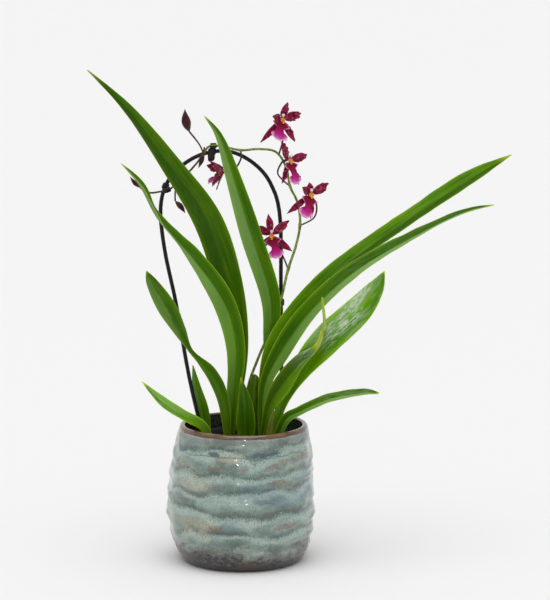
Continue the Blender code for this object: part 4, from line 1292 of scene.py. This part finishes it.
def nearest(route, point):
    best = min(range(1, len(route) - 1), key=lambda number: (route[number] - point).length)
    return route[best], (route[best + 1] - route[best - 1]).normalized()


def build_clips():
    s = Surface("clip_plastic", roughness=0.4, specular=0.25)
    grain = s.noise((0.9, 0.9, 0.9), 3)
    s.colour(s.mix(s.between(grain, 0.4, 0.7), (0.006, 0.006, 0.0065), (0.018, 0.018, 0.019)))
    s.bump(grain, 0.10, 0.5)
    wire = smooth_route(WIRE_ROUTE, 400)
    stem = smooth_route(STEM_ROUTE, 500)
    for name, (on_wire, on_stem) in CLIPS.items():
        wire_place, wire_along = nearest(wire, plant_point(on_wire))
        stem_place, stem_along = nearest(stem, plant_point(on_stem))
        between = stem_place - wire_place
        across = (between - wire_along * between.dot(wire_along)).normalized()
        normal = wire_along.cross(across)
        shell = Shell()
        add_jaw(shell, wire_place, wire_along, -across, WIRE_RADIUS + 0.15, 1.3, 6.4, 70)
        add_jaw(shell, stem_place, stem_along, across, STEM_RADIUS + 0.2, 1.1, 6.4, 80)
        middle = (wire_place + stem_place) / 2
        reach = max(0.8, between.length / 2 - WIRE_RADIUS * 0.9)
        add_block(shell, middle, (across, normal, wire_along), (reach, 1.1, 3.0))
        if name == "clip_top":
            # Its release tab hangs over the front of the wire, round at its lower end.
            face = Vector((0, -1, 0))
            hang = wire_place + face * (WIRE_RADIUS + 1.9) + Vector((-1.0, 0, -2.4))
            add_block(shell, hang, (wire_along, Vector((0, 0, 1)), face), (3.6, 6.8, 0.9), 4.0)
        shell.piece(name + "_look", s.material, [name])


# ---------------------------------------------------------------- stage, light and camera

CAMERA_PLACE = (0.033, -2.5, 0.65)
CAMERA_TARGET = (0.033, 0.0, 0.265)
CAMERA_LENS = 151.74
ROOM_AROUND = 0.71
ROOM_FRONT = 0.56
KEY_STRENGTH = 1.35
KEY_SPREAD = 50.0
KEY_DIRECTION = (0.0, 0.30, -1.0)
# A small light in front, which gives the glaze its glints. Places are in metres, as the camera's are.
GLINT_PLACE = (0.05, -1.8, 0.70)
GLINT_TARGET = (0.0, 0.0, 0.1)
GLINT_SIZE = (0.05, 0.03)
GLINT_POWER = 1.6
FLOOR_HALF = 60.0


def add_thing(name, data, place=(0, 0, 0), direction=None):
    """Adds an object with this data, and turns it to look in a direction."""
    made = bpy.data.objects.new(name, data)
    made.location = place
    if direction:
        made.rotation_euler = direction.to_track_quat("-Z", "Y").to_euler()
    bpy.context.scene.collection.objects.link(made)
    return made


def build_stage():
    s = Surface("floor_paper", roughness=0.85, specular=0.15)
    s.colour((0.84, 0.84, 0.84))
    mesh = bpy.data.meshes.new("floor")
    corners = [(-1, -1), (1, -1), (1, 1), (-1, 1)]
    mesh.from_pydata([(x * FLOOR_HALF, y * FLOOR_HALF, 0) for x, y in corners], [], [(0, 1, 2, 3)])
    mesh.materials.append(s.material)
    add_thing("floor", mesh)


def build_lights():
    world = bpy.data.worlds.new("studio")
    bpy.context.scene.world = world
    world.use_nodes = True
    # The room is bright above, beside and behind, and darker in front, where the camera stands.
    tree = world.node_tree
    direction = tree.nodes.new("ShaderNodeTexCoord").outputs["Generated"]
    axes = tree.nodes.new("ShaderNodeSeparateXYZ")
    tree.links.new(direction, axes.inputs[0])
    room = tree.nodes.new("ShaderNodeMapRange")
    room.interpolation_type = "SMOOTHSTEP"
    limits = {"From Min": -0.95, "From Max": -0.15, "To Min": ROOM_FRONT, "To Max": ROOM_AROUND}
    for label, value in limits.items():
        room.inputs[label].default_value = value
    tree.links.new(axes.outputs["Y"], room.inputs["Value"])
    background = tree.nodes["Background"].inputs
    background["Color"].default_value = (1.0, 1.0, 1.0, 1.0)
    tree.links.new(room.outputs["Result"], background["Strength"])
    sun = bpy.data.lights.new("key", "SUN")
    sun.energy = KEY_STRENGTH
    sun.angle = math.radians(KEY_SPREAD)
    add_thing("key", sun, direction=Vector(KEY_DIRECTION))
    glint = bpy.data.lights.new("glint", "AREA")
    glint.shape = "RECTANGLE"
    glint.size, glint.size_y = GLINT_SIZE
    glint.energy = GLINT_POWER
    add_thing("glint", glint, GLINT_PLACE, Vector(GLINT_TARGET) - Vector(GLINT_PLACE))


def build_camera():
    lens = bpy.data.cameras.new("camera")
    lens.lens = CAMERA_LENS
    lens.clip_end = 200.0
    camera = add_thing("camera", lens, CAMERA_PLACE, Vector(CAMERA_TARGET) - Vector(CAMERA_PLACE))
    bpy.context.scene.camera = camera


def main():
    bpy.context.scene.view_settings.view_transform = "Standard"
    for build in (
        build_camera, build_lights, build_stage, build_cover_pot, build_growing_pot, build_bark,
        build_pseudobulb, build_leaves, build_dry_sheath, build_stem, build_pedicels, build_buds,
        build_flowers, build_support, build_clips,
    ):
        build()


main()
